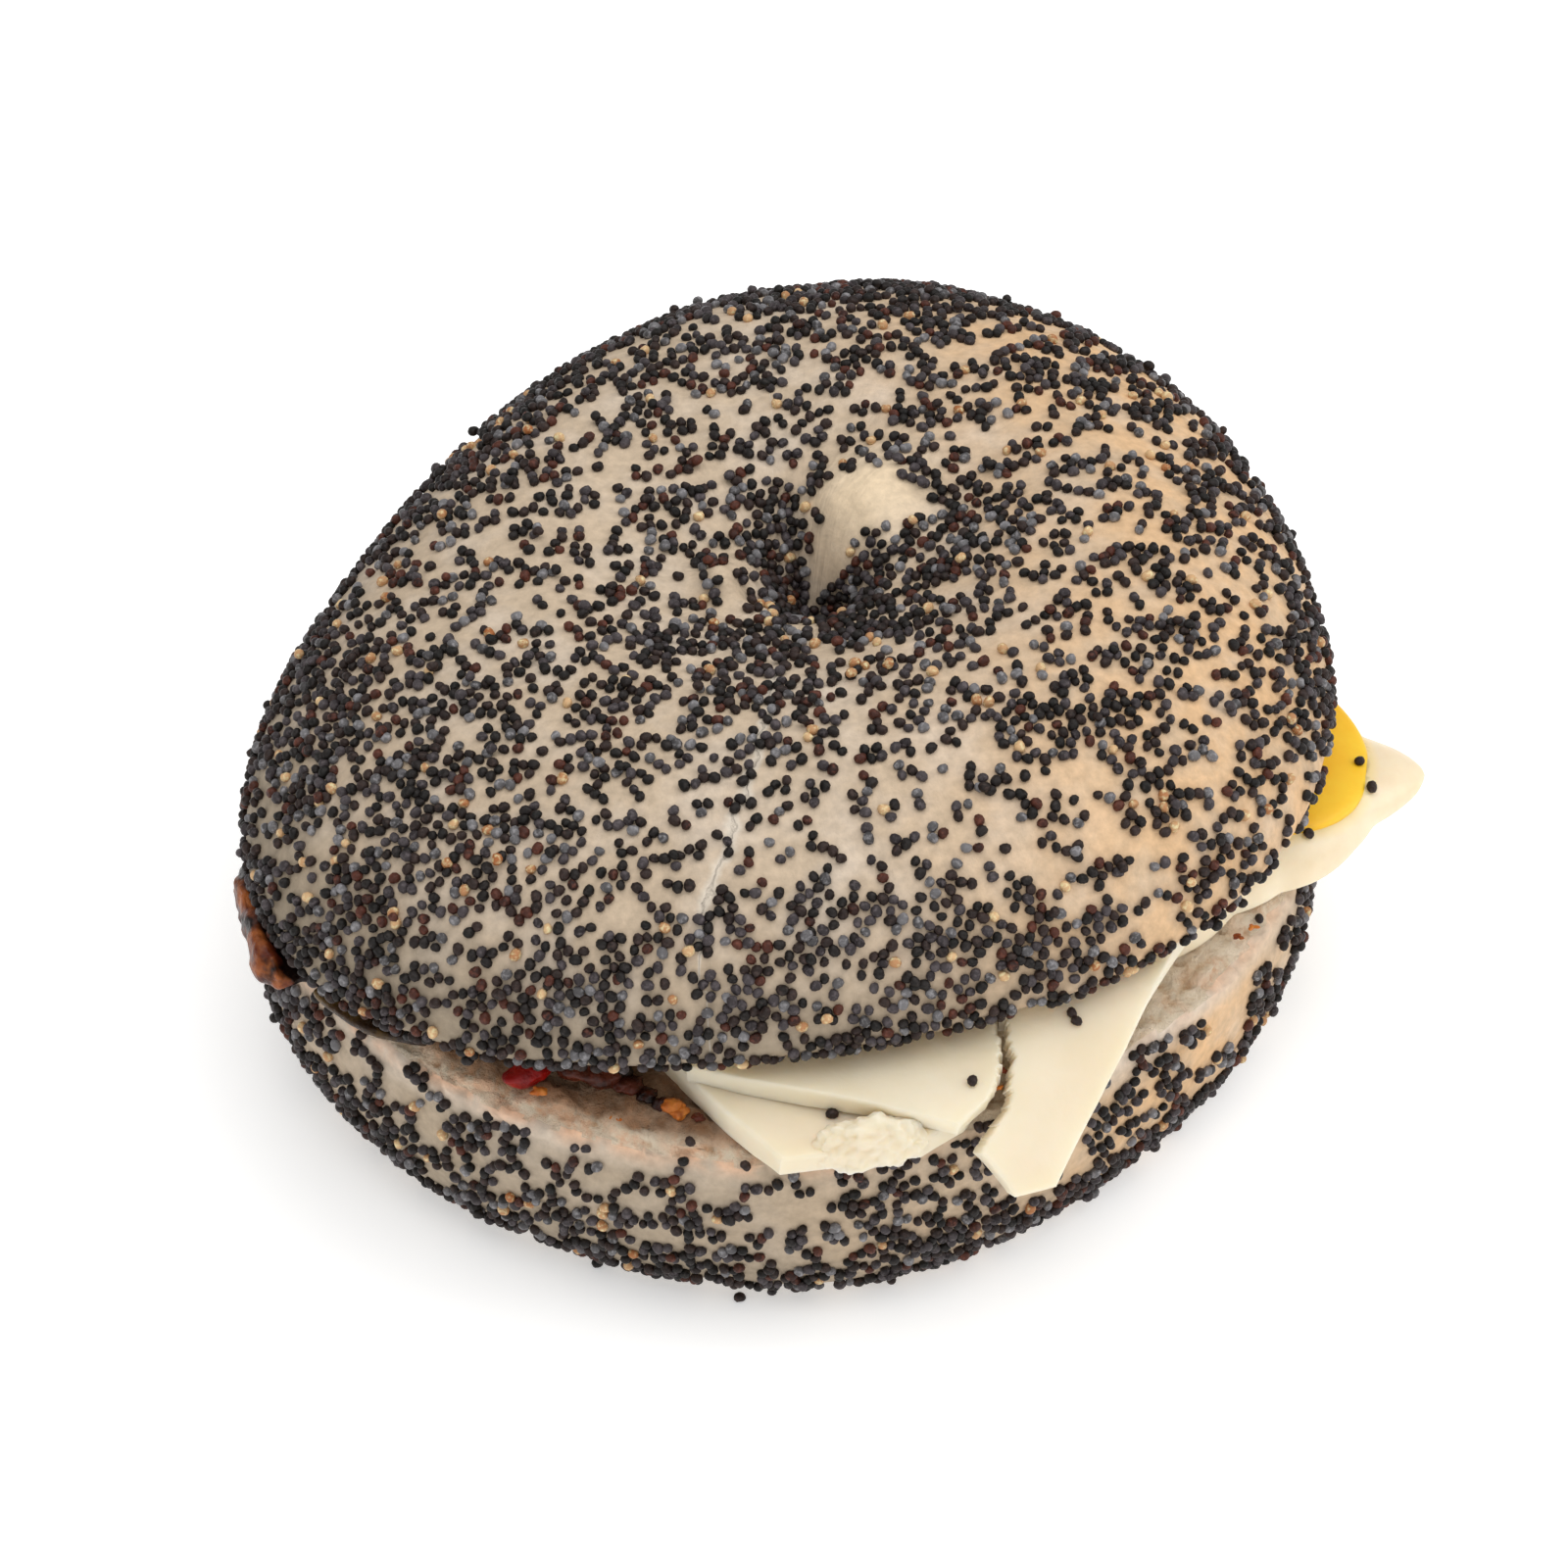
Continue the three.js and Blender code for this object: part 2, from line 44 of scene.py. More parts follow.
# %% [markdown]
# ## Units and the selection
# Bread is thought of in millimetres and Blender works in metres, so every size below is written in
# millimetres and multiplied once. Operators act on whatever is selected, and loading the model leaves it
# selected, so each piece starts from an empty selection.

# %% Modules, unit and selection
import math

import bpy
import numpy as np
from mathutils import Matrix, Vector, noise
from mathutils.bvhtree import BVHTree

MM = 0.001
ROOT = "root"


def deselect_all():
    """Leaves edit mode and selects nothing."""
    if bpy.context.object and bpy.context.object.mode != "OBJECT":
        bpy.ops.object.mode_set(mode="OBJECT")
    bpy.ops.object.select_all(action="DESELECT")


def use_only(piece):
    """Makes one piece the selected and active one."""
    deselect_all()
    piece.select_set(True)
    bpy.context.view_layer.objects.active = piece


# %% [markdown]
# ## Camera
# The bagel is seen from the front and well above, from far away with a long lens, so that near and far
# rims look almost equally large. A long lens could also be faked with an orthographic camera, but a real
# distance keeps the slight narrowing towards the back.

# %% Camera
CAMERA_AIM = Vector((0.2, 0.0, 23.05)) * MM
CAMERA_ELEVATION = math.radians(44)
CAMERA_DISTANCE = 600 * MM
CAMERA_LENS = 149.2

towards_camera = Vector((0, -math.cos(CAMERA_ELEVATION), math.sin(CAMERA_ELEVATION)))
deselect_all()
bpy.ops.object.camera_add(
    location=CAMERA_AIM + CAMERA_DISTANCE * towards_camera,
    rotation=(math.pi / 2 - CAMERA_ELEVATION, 0, 0),
)
camera = bpy.context.object
camera.name = "camera"
camera.data.lens = CAMERA_LENS
camera.data.clip_start = 10 * MM
bpy.context.scene.camera = camera
print("camera at", [round(v, 4) for v in camera.location])

# %% [markdown]
# ## Nodes in a few words
# A material is a small graph. Writing each node on one line, with the sockets that it reads beside it,
# keeps the graph readable as text.

# %% Material helpers


def node(tree, kind, sockets=None, **settings):
    """Adds a shader node, sets its options and fills its sockets with values or links."""
    made = tree.nodes.new("ShaderNode" + kind)
    for name, value in settings.items():
        setattr(made, name, value)
    for name, value in (sockets or {}).items():
        if isinstance(value, bpy.types.NodeSocket):
            tree.links.new(value, made.inputs[name])
        else:
            made.inputs[name].default_value = value
    return made


def new_material(name, **surface):
    """A material, its node tree and its shader, with the shader's own sockets set."""
    material = bpy.data.materials.new(name)
    material.use_nodes = True
    tree = material.node_tree
    shader = next(n for n in tree.nodes if n.type == "BSDF_PRINCIPLED")
    for socket, value in surface.items():
        shader.inputs[socket.replace("_", " ")].default_value = value
    return material, tree, shader


def place_in(tree, size, centre=(0, 0, 0), stretch=(1, 1, 1)):
    """Object coordinates in units of a feature's size in millimetres, from a centre."""
    coordinates = node(tree, "TexCoord").outputs["Object"]
    scale = [1 / (size * MM * s) for s in stretch]
    shift = [-c * MM * k for c, k in zip(centre, scale)]
    return node(tree, "Mapping", {"Vector": coordinates, "Scale": scale, "Location": shift}).outputs[0]


def clouds(tree, size, detail=3.0, roughness=0.55, **mapping):
    """Soft noise whose blobs are about so many millimetres wide."""
    place = place_in(tree, size, **mapping)
    sockets = {"Vector": place, "Scale": 1.0, "Detail": detail, "Roughness": roughness}
    return node(tree, "TexNoise", sockets).outputs["Fac"]


def painted(tree, name):
    """A value that was painted on the piece's points."""
    return node(tree, "Attribute", attribute_name=name).outputs["Fac"]


def remap(tree, value, low, high, to_low=0.0, to_high=1.0):
    """Stretches a range of a value to another range and cuts off what is outside."""
    sockets = {"Value": value, "From Min": low, "From Max": high, "To Min": to_low, "To Max": to_high}
    return node(tree, "MapRange", sockets).outputs[0]


def maths(tree, operation, a, b=0.0):
    """One sum of two values."""
    return node(tree, "Math", {0: a, 1: b}, operation=operation).outputs[0]


def blend(tree, factor, a, b, mode="MIX"):
    """Mixes two colours, each a colour or a link."""
    sockets = {0: factor, 6: colour(a), 7: colour(b)}
    return node(tree, "Mix", sockets, data_type="RGBA", blend_type=mode).outputs[2]


def colour(value):
    """A colour as a socket wants it, with its fourth number."""
    return (*value, 1.0) if isinstance(value, tuple) and len(value) == 3 else value


def bump(tree, shader, height, depth, strength=1.0):
    """Gives a shader a relief of so many millimetres from a height between 0 and 1."""
    sockets = {"Height": height, "Distance": depth * MM, "Strength": strength}
    tree.links.new(node(tree, "Bump", sockets).outputs[0], shader.inputs["Normal"])


# %% [markdown]
# ## Floor and light
# The bagel stands on a white floor, whose own faint glow keeps the shadow pale. Soft light comes from
# above and from the right, so the crown's right side is the brightest and its left side falls into a warm
# grey. A weaker light from the front opens up the gap. Wide area lights do this better than lamps, and a
# white surrounding fills the rest.

# %% Floor and lights
FLOOR_SIZE = 6.0
FLOOR_GLOW = 0.34
SKY_STRENGTH = 0.42
KEY_LIGHT = {"location": (0.05, -0.02, 1.0), "size": 1.2, "power": 6.8}
RIGHT_LIGHT = {"location": (0.9, 0.05, 0.55), "size": 0.6, "power": 2.6}
FRONT_LIGHT = {"location": (-0.1, -0.95, 0.5), "size": 0.8, "power": 1.9}

deselect_all()
bpy.ops.mesh.primitive_plane_add(size=FLOOR_SIZE, location=(0, 0, 0))
floor = bpy.context.object
floor.name = "floor"
floor_material, floor_tree, floor_shader = new_material("floor_white", Roughness=0.9)
floor_shader.inputs["Base Color"].default_value = (0.93, 0.93, 0.925, 1)
floor_shader.inputs["Specular IOR Level"].default_value = 0.1
floor_shader.inputs["Emission Color"].default_value = (1, 1, 1, 1)
floor_shader.inputs["Emission Strength"].default_value = FLOOR_GLOW
floor.data.materials.append(floor_material)

world = bpy.data.worlds.new("studio")
world.use_nodes = True
world.node_tree.nodes["Background"].inputs["Color"].default_value = (1, 1, 1, 1)
world.node_tree.nodes["Background"].inputs["Strength"].default_value = SKY_STRENGTH
bpy.context.scene.world = world
bpy.context.scene.view_settings.view_transform = "Standard"


def soft_light(name, location, size, power):
    """A square light that faces the middle of the bagel."""
    deselect_all()
    bpy.ops.object.light_add(type="AREA", location=location)
    light = bpy.context.object
    light.name = name
    light.data.size = size
    light.data.energy = power
    light.rotation_euler = (Vector(location) - CAMERA_AIM).to_track_quat("Z", "Y").to_euler()


soft_light("key_light", **KEY_LIGHT)
soft_light("right_light", **RIGHT_LIGHT)
soft_light("front_light", **FRONT_LIGHT)
print("floor and three lights")

# %% [markdown]
# ## Turning bread on a lathe
# A boiled bagel is a round, swollen body. Both halves start as turned bodies: one point is extruded along
# the profile and spun round the upright axis. A sphere cut in two would do as well, but a profile also
# lays even rings on the cut face, where the crumb needs them.

# %% Lathe, points and waves


def lathe(name, profile, steps):
    """Spins a profile of (radius, height) points in millimetres round the upright axis."""
    deselect_all()
    bpy.ops.mesh.primitive_plane_add(size=MM)
    piece = bpy.context.object
    piece.name = name
    bpy.ops.object.mode_set(mode="EDIT")
    bpy.ops.mesh.select_all(action="SELECT")
    bpy.ops.mesh.merge(type="CENTER")
    points = [Vector((r * MM, 0, z * MM)) for r, z in profile]
    bpy.ops.transform.translate(value=points[0])
    for last, point in zip(points, points[1:]):
        bpy.ops.mesh.extrude_region_move(TRANSFORM_OT_translate={"value": point - last})
    bpy.ops.mesh.select_all(action="SELECT")
    bpy.ops.mesh.spin(steps=steps, angle=2 * math.pi, center=(0, 0, 0), axis=(0, 0, 1))
    bpy.ops.mesh.select_all(action="SELECT")
    bpy.ops.mesh.remove_doubles(threshold=0.001 * MM)
    bpy.ops.mesh.normals_make_consistent(inside=False)
    bpy.ops.object.mode_set(mode="OBJECT")
    bpy.ops.object.shade_smooth()
    return piece


def points_of(piece):
    """The piece's points in millimetres, as rows of x, y, z."""
    flat = np.empty(3 * len(piece.data.vertices))
    piece.data.vertices.foreach_get("co", flat)
    return flat.reshape(-1, 3) / MM


def set_points(piece, points):
    piece.data.vertices.foreach_set("co", (points * MM).ravel())
    piece.data.update()


def wave_share(angle, waves):
    """How far an outline stands out at each angle, as a share of its radius."""
    return 1 + sum(c * np.cos(n * angle) + s * np.sin(n * angle) for n, c, s in waves)


def smooth(t):
    """A soft ramp from 0 to 1."""
    t = np.clip(t, 0, 1)
    return t * t * (3 - 2 * t)


def push_height(x, y, pushes):
    """The height that round, soft pushes add at each place."""
    return sum(height * smooth(1 - np.hypot(x - px, y - py) / radius) for px, py, radius, height in pushes)


def rough(points, size, seed):
    """Noise between about -1 and 1 at each point, with blobs of a size in millimetres."""
    shift = Vector((seed * 7.3, seed * 3.1, seed * 5.7))
    return np.array([noise.noise(Vector(p) / size + shift) for p in points])


def paint(piece, name, values):
    """Keeps one value for each point on the piece, for its material to read."""
    attribute = piece.data.attributes.new(name, "FLOAT", "POINT")
    attribute.data.foreach_set("value", np.asarray(values, dtype=np.float32))


# %% [markdown]
# ## The crown
# The upper half is a low dome with a soft, wavy outline. Where the ring closed there is a deep pit, with a
# bare swollen lip behind it and a crease that runs into it. Round pushes with a smooth falloff make these,
# as proportional editing does by hand, and the same pushes shape the solid model.

# %% Crown shape
STEPS_ROUND = 412
CROWN_RADIUS = 50.5
CREST_SHARE = 0.5
CROWN_HEIGHT = 18.8
RIM_TUCK, RIM_LIFT = 0.9, 1.1
CROWN_WAVES = [(2, -0.026, 0.053), (3, -0.002, -0.056), (4, -0.009, 0.002)]
CROWN_TILT = (math.radians(-3.4), math.radians(-5.2))
CROWN_PLACE = np.array([1.8, 6.9, 26.8])
CROWN_PUSHES = [
    (1.5, -1.5, 24, -4.4),     # wide dimple
    (2.8, 0.3, 8, -5.4),       # pit
    (0.6, 4.6, 5, -2.8),       # crease
    (1.1, 9.5, 5, -1.6),       # end of the crease
    (6.8, 7.2, 8, 2.6),        # bulge
    (11, 11, 8, 1.2),          # end of the bulge
    (-5.5, -0.7, 5, 1.3),      # small bump
    (-26, 20, 20, 0.8),        # left shoulder
    (30, 1, 18, 0.7),          # right shoulder
]
CROWN_RINGS = {"flat": 52, "dome": 64, "cut": 56}
CUT_EASE = 1.4


def crown_profile():
    """From the middle of the crown, over the crust and the cut rim, to the middle of the cut face."""
    crest = CROWN_RADIUS * CREST_SHARE
    flat, dome, cut = CROWN_RINGS["flat"], CROWN_RINGS["dome"], CROWN_RINGS["cut"]
    profile = [(crest * i / flat, CROWN_HEIGHT) for i in range(flat)]
    for i in range(dome + 1):
        angle = math.pi / 2 * (1 - i / dome)
        rise = CROWN_HEIGHT * math.sin(angle)
        tuck = RIM_TUCK * max(0, 1 - rise / RIM_LIFT)
        profile.append((crest + (CROWN_RADIUS - crest) * math.cos(angle) - tuck, rise))
    edge = profile[-1][0]
    return profile + [(edge * (1 - (i / cut) ** CUT_EASE), 0) for i in range(1, cut + 1)]


def crown_placed(points):
    """Tilts and lifts the crown from the lathe to its place on the fillings."""
    turn = Matrix.Rotation(CROWN_TILT[0], 3, "X") @ Matrix.Rotation(CROWN_TILT[1], 3, "Y")
    return points @ np.array(turn).T + CROWN_PLACE


crown = lathe("crown", crown_profile(), STEPS_ROUND)
crown_flat = points_of(crown)
share = wave_share(np.arctan2(crown_flat[:, 1], crown_flat[:, 0]), CROWN_WAVES)
on_cut = crown_flat[:, 2] < 0.001
crown_shape = crown_flat * np.stack([share, share, np.ones_like(share)], 1)
upper = crown_flat[:, 2] > 0.5 * CROWN_HEIGHT
crown_shape[:, 2] += upper * push_height(crown_shape[:, 0], crown_shape[:, 1], CROWN_PUSHES)
print("crown points:", len(crown_shape))

# %% [markdown]
# Dough is never true. Slow swellings of under half a millimetre, a finer unevenness and a ragged cut rim
# break the lathe's perfection. Noise that is added along the points does this in one step, where a
# sculptor would use a soft brush all over. The crease beside the swollen lip is too sharp for the wide
# pushes, so a row of narrow ones cuts it deeper, and the lip next to it rises a little.

# %% Crown unevenness
SWELLING = {"size": 11, "height": 0.35}
RIM_RAGGED = {"size": 3.2, "height": 0.35, "reach": 2.5}
FOLDS = [
    (0.0, 10.6, 1.8, -0.9),
    (-0.1, 8.6, 1.9, -1.4),
    (0.0, 6.6, 1.9, -1.5),
    (0.3, 4.6, 2.0, -1.4),
    (1.2, 2.6, 2.2, -1.0),
    (3.4, 10.2, 3.2, 0.9),
    (3.6, 6.6, 2.6, 0.5),
    (3.2, 0.8, 3.6, -3.8),
    (2.6, 2.6, 1.8, -0.8),
    (-5.9, -1.4, 2.2, 1.2),
    (-3.4, -1.8, 2.0, -1.2),
    (-7.6, -3.8, 2.2, -0.5),
]


def ragged_rim(points, rim_height, seed):
    """How far the cut rim wanders up or down, fading away from the rim."""
    ring = points / np.maximum(np.hypot(points[:, 0], points[:, 1]), 1)[:, None] * CROWN_RADIUS
    ring[:, 2] = 0
    near = np.exp(-np.abs(points[:, 2] - rim_height) / RIM_RAGGED["reach"])
    radius = np.hypot(points[:, 0], points[:, 1])
    near *= smooth((radius - radius.max() * 0.8) / (radius.max() * 0.1))
    return RIM_RAGGED["height"] * rough(ring, RIM_RAGGED["size"], seed) * near


swelling = SWELLING["height"] * rough(crown_shape, SWELLING["size"], 1) + 0.09 * rough(crown_shape, 2.6, 13)
crown_shape[:, 2] += upper * push_height(crown_shape[:, 0], crown_shape[:, 1], FOLDS)
crown_shape[:, 2] += swelling * ~on_cut + ragged_rim(crown_shape, 0, 2)
set_points(crown, crown_placed(crown_shape))
print("crown top at", round(points_of(crown)[:, 2].max(), 1), "mm")

# %% [markdown]
# ## The base
# The lower half is a flat-bottomed bowl of bread: the base has spread on the tray, the wall bulges and the
# cut face is level. Its underside keeps a small navel, where the ring closed.

# %% Base shape
BASE_RADIUS = 46.9
BASE_HEIGHT = 22.0
BASE_WIDEST = 16.0
BASE_TUCK = 7.3
BASE_RIM_TUCK = 0.3
BASE_WAVES = [(2, 0.010, 0.013), (3, 0.016, -0.025), (4, 0.026, 0.019)]
NAVEL = (8, 4, 6.3, 2.4)
WORN_RADIUS = 3.6
BASE_RINGS = {"under": 26, "wall": 48, "rim": 12, "cut": 56}


def base_profile():
    """From the middle of the underside, up the wall and over the cut rim, to the middle of the cut face."""
    under, wall, rim, cut = (BASE_RINGS[k] for k in ("under", "wall", "rim", "cut"))
    foot = BASE_RADIUS - BASE_TUCK
    profile = [(foot * i / under, 0) for i in range(under)]
    for i in range(wall + 1):
        angle = math.pi / 2 * i / wall
        radius = BASE_RADIUS - BASE_TUCK * (1 - math.sin(angle))
        profile.append((radius, BASE_WIDEST * (1 - math.cos(angle))))
    for i in range(1, rim + 1):
        rise = i / rim
        height = BASE_WIDEST + (BASE_HEIGHT - BASE_WIDEST) * rise
        profile.append((BASE_RADIUS - BASE_RIM_TUCK * rise ** 2, height))
    edge = profile[-1][0]
    return profile + [(edge * (1 - (i / cut) ** CUT_EASE), BASE_HEIGHT) for i in range(1, cut + 1)]


def around(points, middle, width):
    """1 at an azimuth in degrees, fading to 0 at so many degrees from it."""
    azimuth = np.degrees(np.arctan2(points[:, 1], points[:, 0]))
    away = np.abs((azimuth - middle + 180) % 360 - 180)
    return smooth(1 - away / width)


def rim_distance(flat, cut):
    """How far inside the rim each point of a cut face lies, in millimetres."""
    radius = np.hypot(flat[:, 0], flat[:, 1])
    return np.where(cut, radius[cut].max() - radius, 0)


base = lathe("base", base_profile(), STEPS_ROUND)
base_flat = points_of(base)
share = wave_share(np.arctan2(base_flat[:, 1], base_flat[:, 0]), BASE_WAVES)
base_cut = base_flat[:, 2] > BASE_HEIGHT - 0.001
base_under = base_flat[:, 2] < 0.001
base_shape = base_flat * np.stack([share, share, np.ones_like(share)], 1)
base_shape[:, 2] += base_under * push_height(base_shape[:, 0], base_shape[:, 1], [NAVEL])
outward = base_shape.copy()
outward[:, 2] = 0
outward /= np.maximum(np.linalg.norm(outward, axis=1), 1)[:, None]
wall = smooth(base_shape[:, 2] / 3) * ~base_cut
base_shape += outward * (wall * SWELLING["height"] * rough(base_shape, SWELLING["size"], 3))[:, None]
worn = np.clip(around(base_shape, 245, 62) + around(base_shape, 333, 30), 0, 1)
base_shape[:, 2] += ragged_rim(base_shape, BASE_HEIGHT, 4)
from_corner = np.where(base_cut, rim_distance(base_flat, base_cut), BASE_HEIGHT - base_flat[:, 2])
rounding = 0.29 * WORN_RADIUS * worn * np.clip(1 - from_corner / WORN_RADIUS, 0, 1) ** 2
base_shape[:, 2] -= rounding
base_shape -= outward * rounding[:, None]
set_points(base, base_shape)
print("base points:", len(base_shape))

# %% [markdown]
# ## Crumb
# Where the knife went, the crumb shows bubbles from half a millimetre to three across, torn open. A
# Displace modifier that sinks round cells makes the bubbles, and a second, finer one makes the torn skin.
# Both act only on the cut face, through a vertex group. The places of the points before this step are
# kept, because tints and seeds are laid out on the unbroken surface.

# %% Crumb relief
CRUMB_LAYERS = [
    {"kind": "VORONOI", "size": 2.4, "height": 1.7, "level": 0.45},
    {"kind": "VORONOI", "size": 1.1, "height": 1.0, "level": 0.4},
    {"kind": "CLOUDS", "size": 0.7, "height": 0.7, "level": 0.5},
]


def group_points(piece, name, weights):
    """A vertex group with a weight for each point."""
    group = piece.vertex_groups.new(name=name)
    for index in np.flatnonzero(weights > 0.01):
        group.add([int(index)], float(weights[index]), "REPLACE")


def displace(piece, kind, size, height, level=0.5, group=""):
    """Applies one Displace modifier with a texture of a size in millimetres."""
    texture = bpy.data.textures.new("relief_" + kind.lower(), kind)
    texture.noise_scale = size * MM
    use_only(piece)
    bpy.ops.object.modifier_add(type="DISPLACE")
    modifier = piece.modifiers[-1]
    modifier.texture = texture
    modifier.texture_coords = "LOCAL"
    modifier.mid_level = level
    modifier.strength = height * MM
    modifier.vertex_group = group
    bpy.ops.object.modifier_apply(modifier=modifier.name)


def open_crumb(piece, cut, weight, upward):
    """Sinks bubbles into the cut face and remembers how deep each point lies."""
    group_points(piece, "crumb", weight)
    before = points_of(piece)
    for layer in CRUMB_LAYERS:
        displace(piece, layer["kind"], layer["size"], layer["height"], layer["level"], "crumb")
    sunk = (before - points_of(piece))[:, 2] * upward
    # The depth is kept for the crumb's material, which darkens the deep points as painted shade in the
    # bubbles.
    paint(piece, "hollow", np.clip(0.3 + sunk / 1.2, 0, 1) * cut)


crown_points, base_points = points_of(crown), points_of(base)
open_crumb(crown, on_cut, on_cut * smooth((rim_distance(crown_flat, on_cut) + 0.4) / 2), -1)
open_crumb(base, base_cut, base_cut * smooth((from_corner + 0.8) / 1.6) + ~base_cut * 2 * rounding, 1)
print("crumb opened on both cut faces")

# %% [markdown]
# ## Crust colour
# Boiled crust is matte and pale, cream where flour clings and tan where the oven caught it. Low down and on
# the left it turns greyer and darker, partly the crust's own grey and partly painted shade, and the bare
# lip behind the pit gets a paler tint with a painted highlight. These tints are painted on the points. The
# material adds
# fine mottling and a low relief: wrinkles that run towards the pit, from a painted direction, and a grain
# like skin.

# %% Crust and crumb materials
CREAM = (0.60, 0.47, 0.335)
TAN = (0.77, 0.49, 0.26)
FLOUR = (0.70, 0.59, 0.48)
FLOUR_BRIGHT = (0.76, 0.68, 0.57)
LIP_TINT_AND_PAINTED_HIGHLIGHT = (0.86, 0.68, 0.46)
# A darker grey for the crust low down and on the left: partly its own grey, partly painted shade.
GREY_AND_PAINTED_SHADE = (0.33, 0.265, 0.19)
CRUMB = (0.90, 0.76, 0.58)
# Darker crumb for painted shade deep in the bubbles and for random mottling.
CRUMB_MOTTLE_AND_BUBBLE_SHADE = (0.62, 0.38, 0.18)
# Dark brown for the crumb under the crown: partly crumb soaked by the filling, partly painted shade.
CRUMB_SOAK_AND_GAP_SHADE = (0.20, 0.075, 0.018)
SPREAD_STAIN = (0.88, 0.52, 0.32)


def crust_material():
    material, tree, shader = new_material("crust", Roughness=0.72)
    shader.inputs["Specular IOR Level"].default_value = 0.28
    tone = blend(tree, remap(tree, clouds(tree, 7, detail=4), 0.45, 0.7, 0, 0.7), CREAM, FLOUR)
    patchy = remap(tree, clouds(tree, 5, detail=4), 0.3, 0.6, 0.35, 1)
    oven = maths(tree, "MULTIPLY", painted(tree, "baked"), patchy)
    tone = blend(tree, oven, tone, TAN)
    # Painted shade: the crust turns darker and greyer low down and on the left, partly its own grey.
    tone = blend(tree, painted(tree, "dull"), tone, GREY_AND_PAINTED_SHADE)
    tone = blend(tree, painted(tree, "floury"), tone, FLOUR)
    # Painted highlight: the bare lip behind the pit is made much paler, over its own paler tint.
    tone = blend(tree, painted(tree, "waxy"), tone, LIP_TINT_AND_PAINTED_HIGHLIGHT)
    tone = blend(tree, painted(tree, "stain"), tone, SPREAD_STAIN)
    wander = maths(tree, "ADD", clouds(tree, 2.4, detail=4), -0.5)
    beside = maths(tree, "ADD", painted(tree, "crack"), maths(tree, "MULTIPLY", wander, 0.35))
    away = maths(tree, "ABSOLUTE", maths(tree, "ADD", beside, -0.5))
    tone = blend(tree, remap(tree, away, 0.11, 0.03, 0, 0.75), tone, FLOUR_BRIGHT)
    shade = remap(tree, clouds(tree, 0.9, detail=4), 0.3, 0.7, 0.86, 1.1)
    grey = node(tree, "CombineColor", {0: shade, 1: shade, 2: shade}).outputs[0]
    tree.links.new(blend(tree, 1.0, tone, grey, "MULTIPLY"), shader.inputs["Base Color"])
    course = node(tree, "Attribute", attribute_name="course").outputs["Vector"]
    wrinkles = node(tree, "TexNoise", {"Vector": course, "Scale": 1.0, "Detail": 4.0}).outputs["Fac"]
    height = maths(tree, "ADD", wrinkles, maths(tree, "MULTIPLY", clouds(tree, 0.28, detail=2), 0.2))
    height = maths(tree, "ADD", height, remap(tree, away, 0.0, 0.022, -1.2, 0))
    bump(tree, shader, height, 0.4, 0.6)
    return material


def paint_course(piece, flat):
    """Paints a direction that runs out from the pit, so that noise in it makes radial wrinkles."""
    angle = np.arctan2(flat[:, 1], flat[:, 0])
    out = np.hypot(flat[:, 0], flat[:, 1]) / 9 + flat[:, 2] / 6
    course = np.stack([16 * np.cos(angle), 16 * np.sin(angle), out], 1)
    attribute = piece.data.attributes.new("course", "FLOAT_VECTOR", "POINT")
    attribute.data.foreach_set("vector", course.astype(np.float32).ravel())


def crumb_material():
    material, tree, shader = new_material("crumb", Roughness=0.85)
    shader.inputs["Specular IOR Level"].default_value = 0.2
    fine = remap(tree, clouds(tree, 0.8, detail=4), 0.35, 0.65, 0.0, 0.7)
    # Painted shade: points that sank deeper into the bubbles turn darker, with fine random mottling on top.
    deep = maths(tree, "ADD", painted(tree, "hollow"), fine)
    tone = blend(tree, remap(tree, deep, 0.6, 1.4), CRUMB, CRUMB_MOTTLE_AND_BUBBLE_SHADE)
    # Painted shade: the cut face inside the rim turns dark brown in patches, partly crumb soaked by the
    # filling.
    soak_and_shade_patches = remap(tree, clouds(tree, 2.2, detail=4), 0.3, 0.6, 0.75, 1)
    tone = blend(tree, maths(tree, "MULTIPLY", painted(tree, "soaked"), soak_and_shade_patches), tone, CRUMB_SOAK_AND_GAP_SHADE)
    spread = remap(tree, clouds(tree, 1.6, detail=4), 0.35, 0.6)
    stain = maths(tree, "MULTIPLY", painted(tree, "stain"), spread)
    tone = blend(tree, stain, tone, SPREAD_STAIN)
    tree.links.new(tone, shader.inputs["Base Color"])
    bump(tree, shader, clouds(tree, 0.7, detail=5, roughness=0.7), 0.9, 0.9)
    return material


def near(points, place, radius):
    """1 at a place, fading to 0 at a distance from it."""
    return smooth(1 - np.linalg.norm(points - np.array(place), axis=1) / radius)


CRACK = [
    (-1.0, -18.0), (-1.3, -24.0), (-2.6, -28.0), (-2.7, -31.0), (-4.2, -35.2), (-4.9, -38.2),
    (-6.3, -40.4), (-6.9, -42.2), (-8.1, -44.6),
]
CRACK_REACH = 4.0


def paint_crack(piece, flat, corners):
    """Paints how far each point lies from the crack, from 0 on its left to 1 on its right."""
    place = flat[:, :2]
    side = np.full(len(flat), CRACK_REACH)
    for a, b in zip(corners, corners[1:]):
        a, b = np.array(a), np.array(b)
        line = (b - a) / np.linalg.norm(b - a)
        share = np.clip((place - a) @ line, 0, np.linalg.norm(b - a))
        away = place - a - share[:, None] * line
        side = np.minimum(side, np.hypot(*away.T))
    if len(corners):
        crack_x = np.interp(-place[:, 1], [-y for _, y in corners], [x for x, _ in corners])
        side *= np.sign(place[:, 0] - crack_x)
    paint(piece, "crack", 0.5 + np.clip(side / CRACK_REACH, -1, 1) / 2)


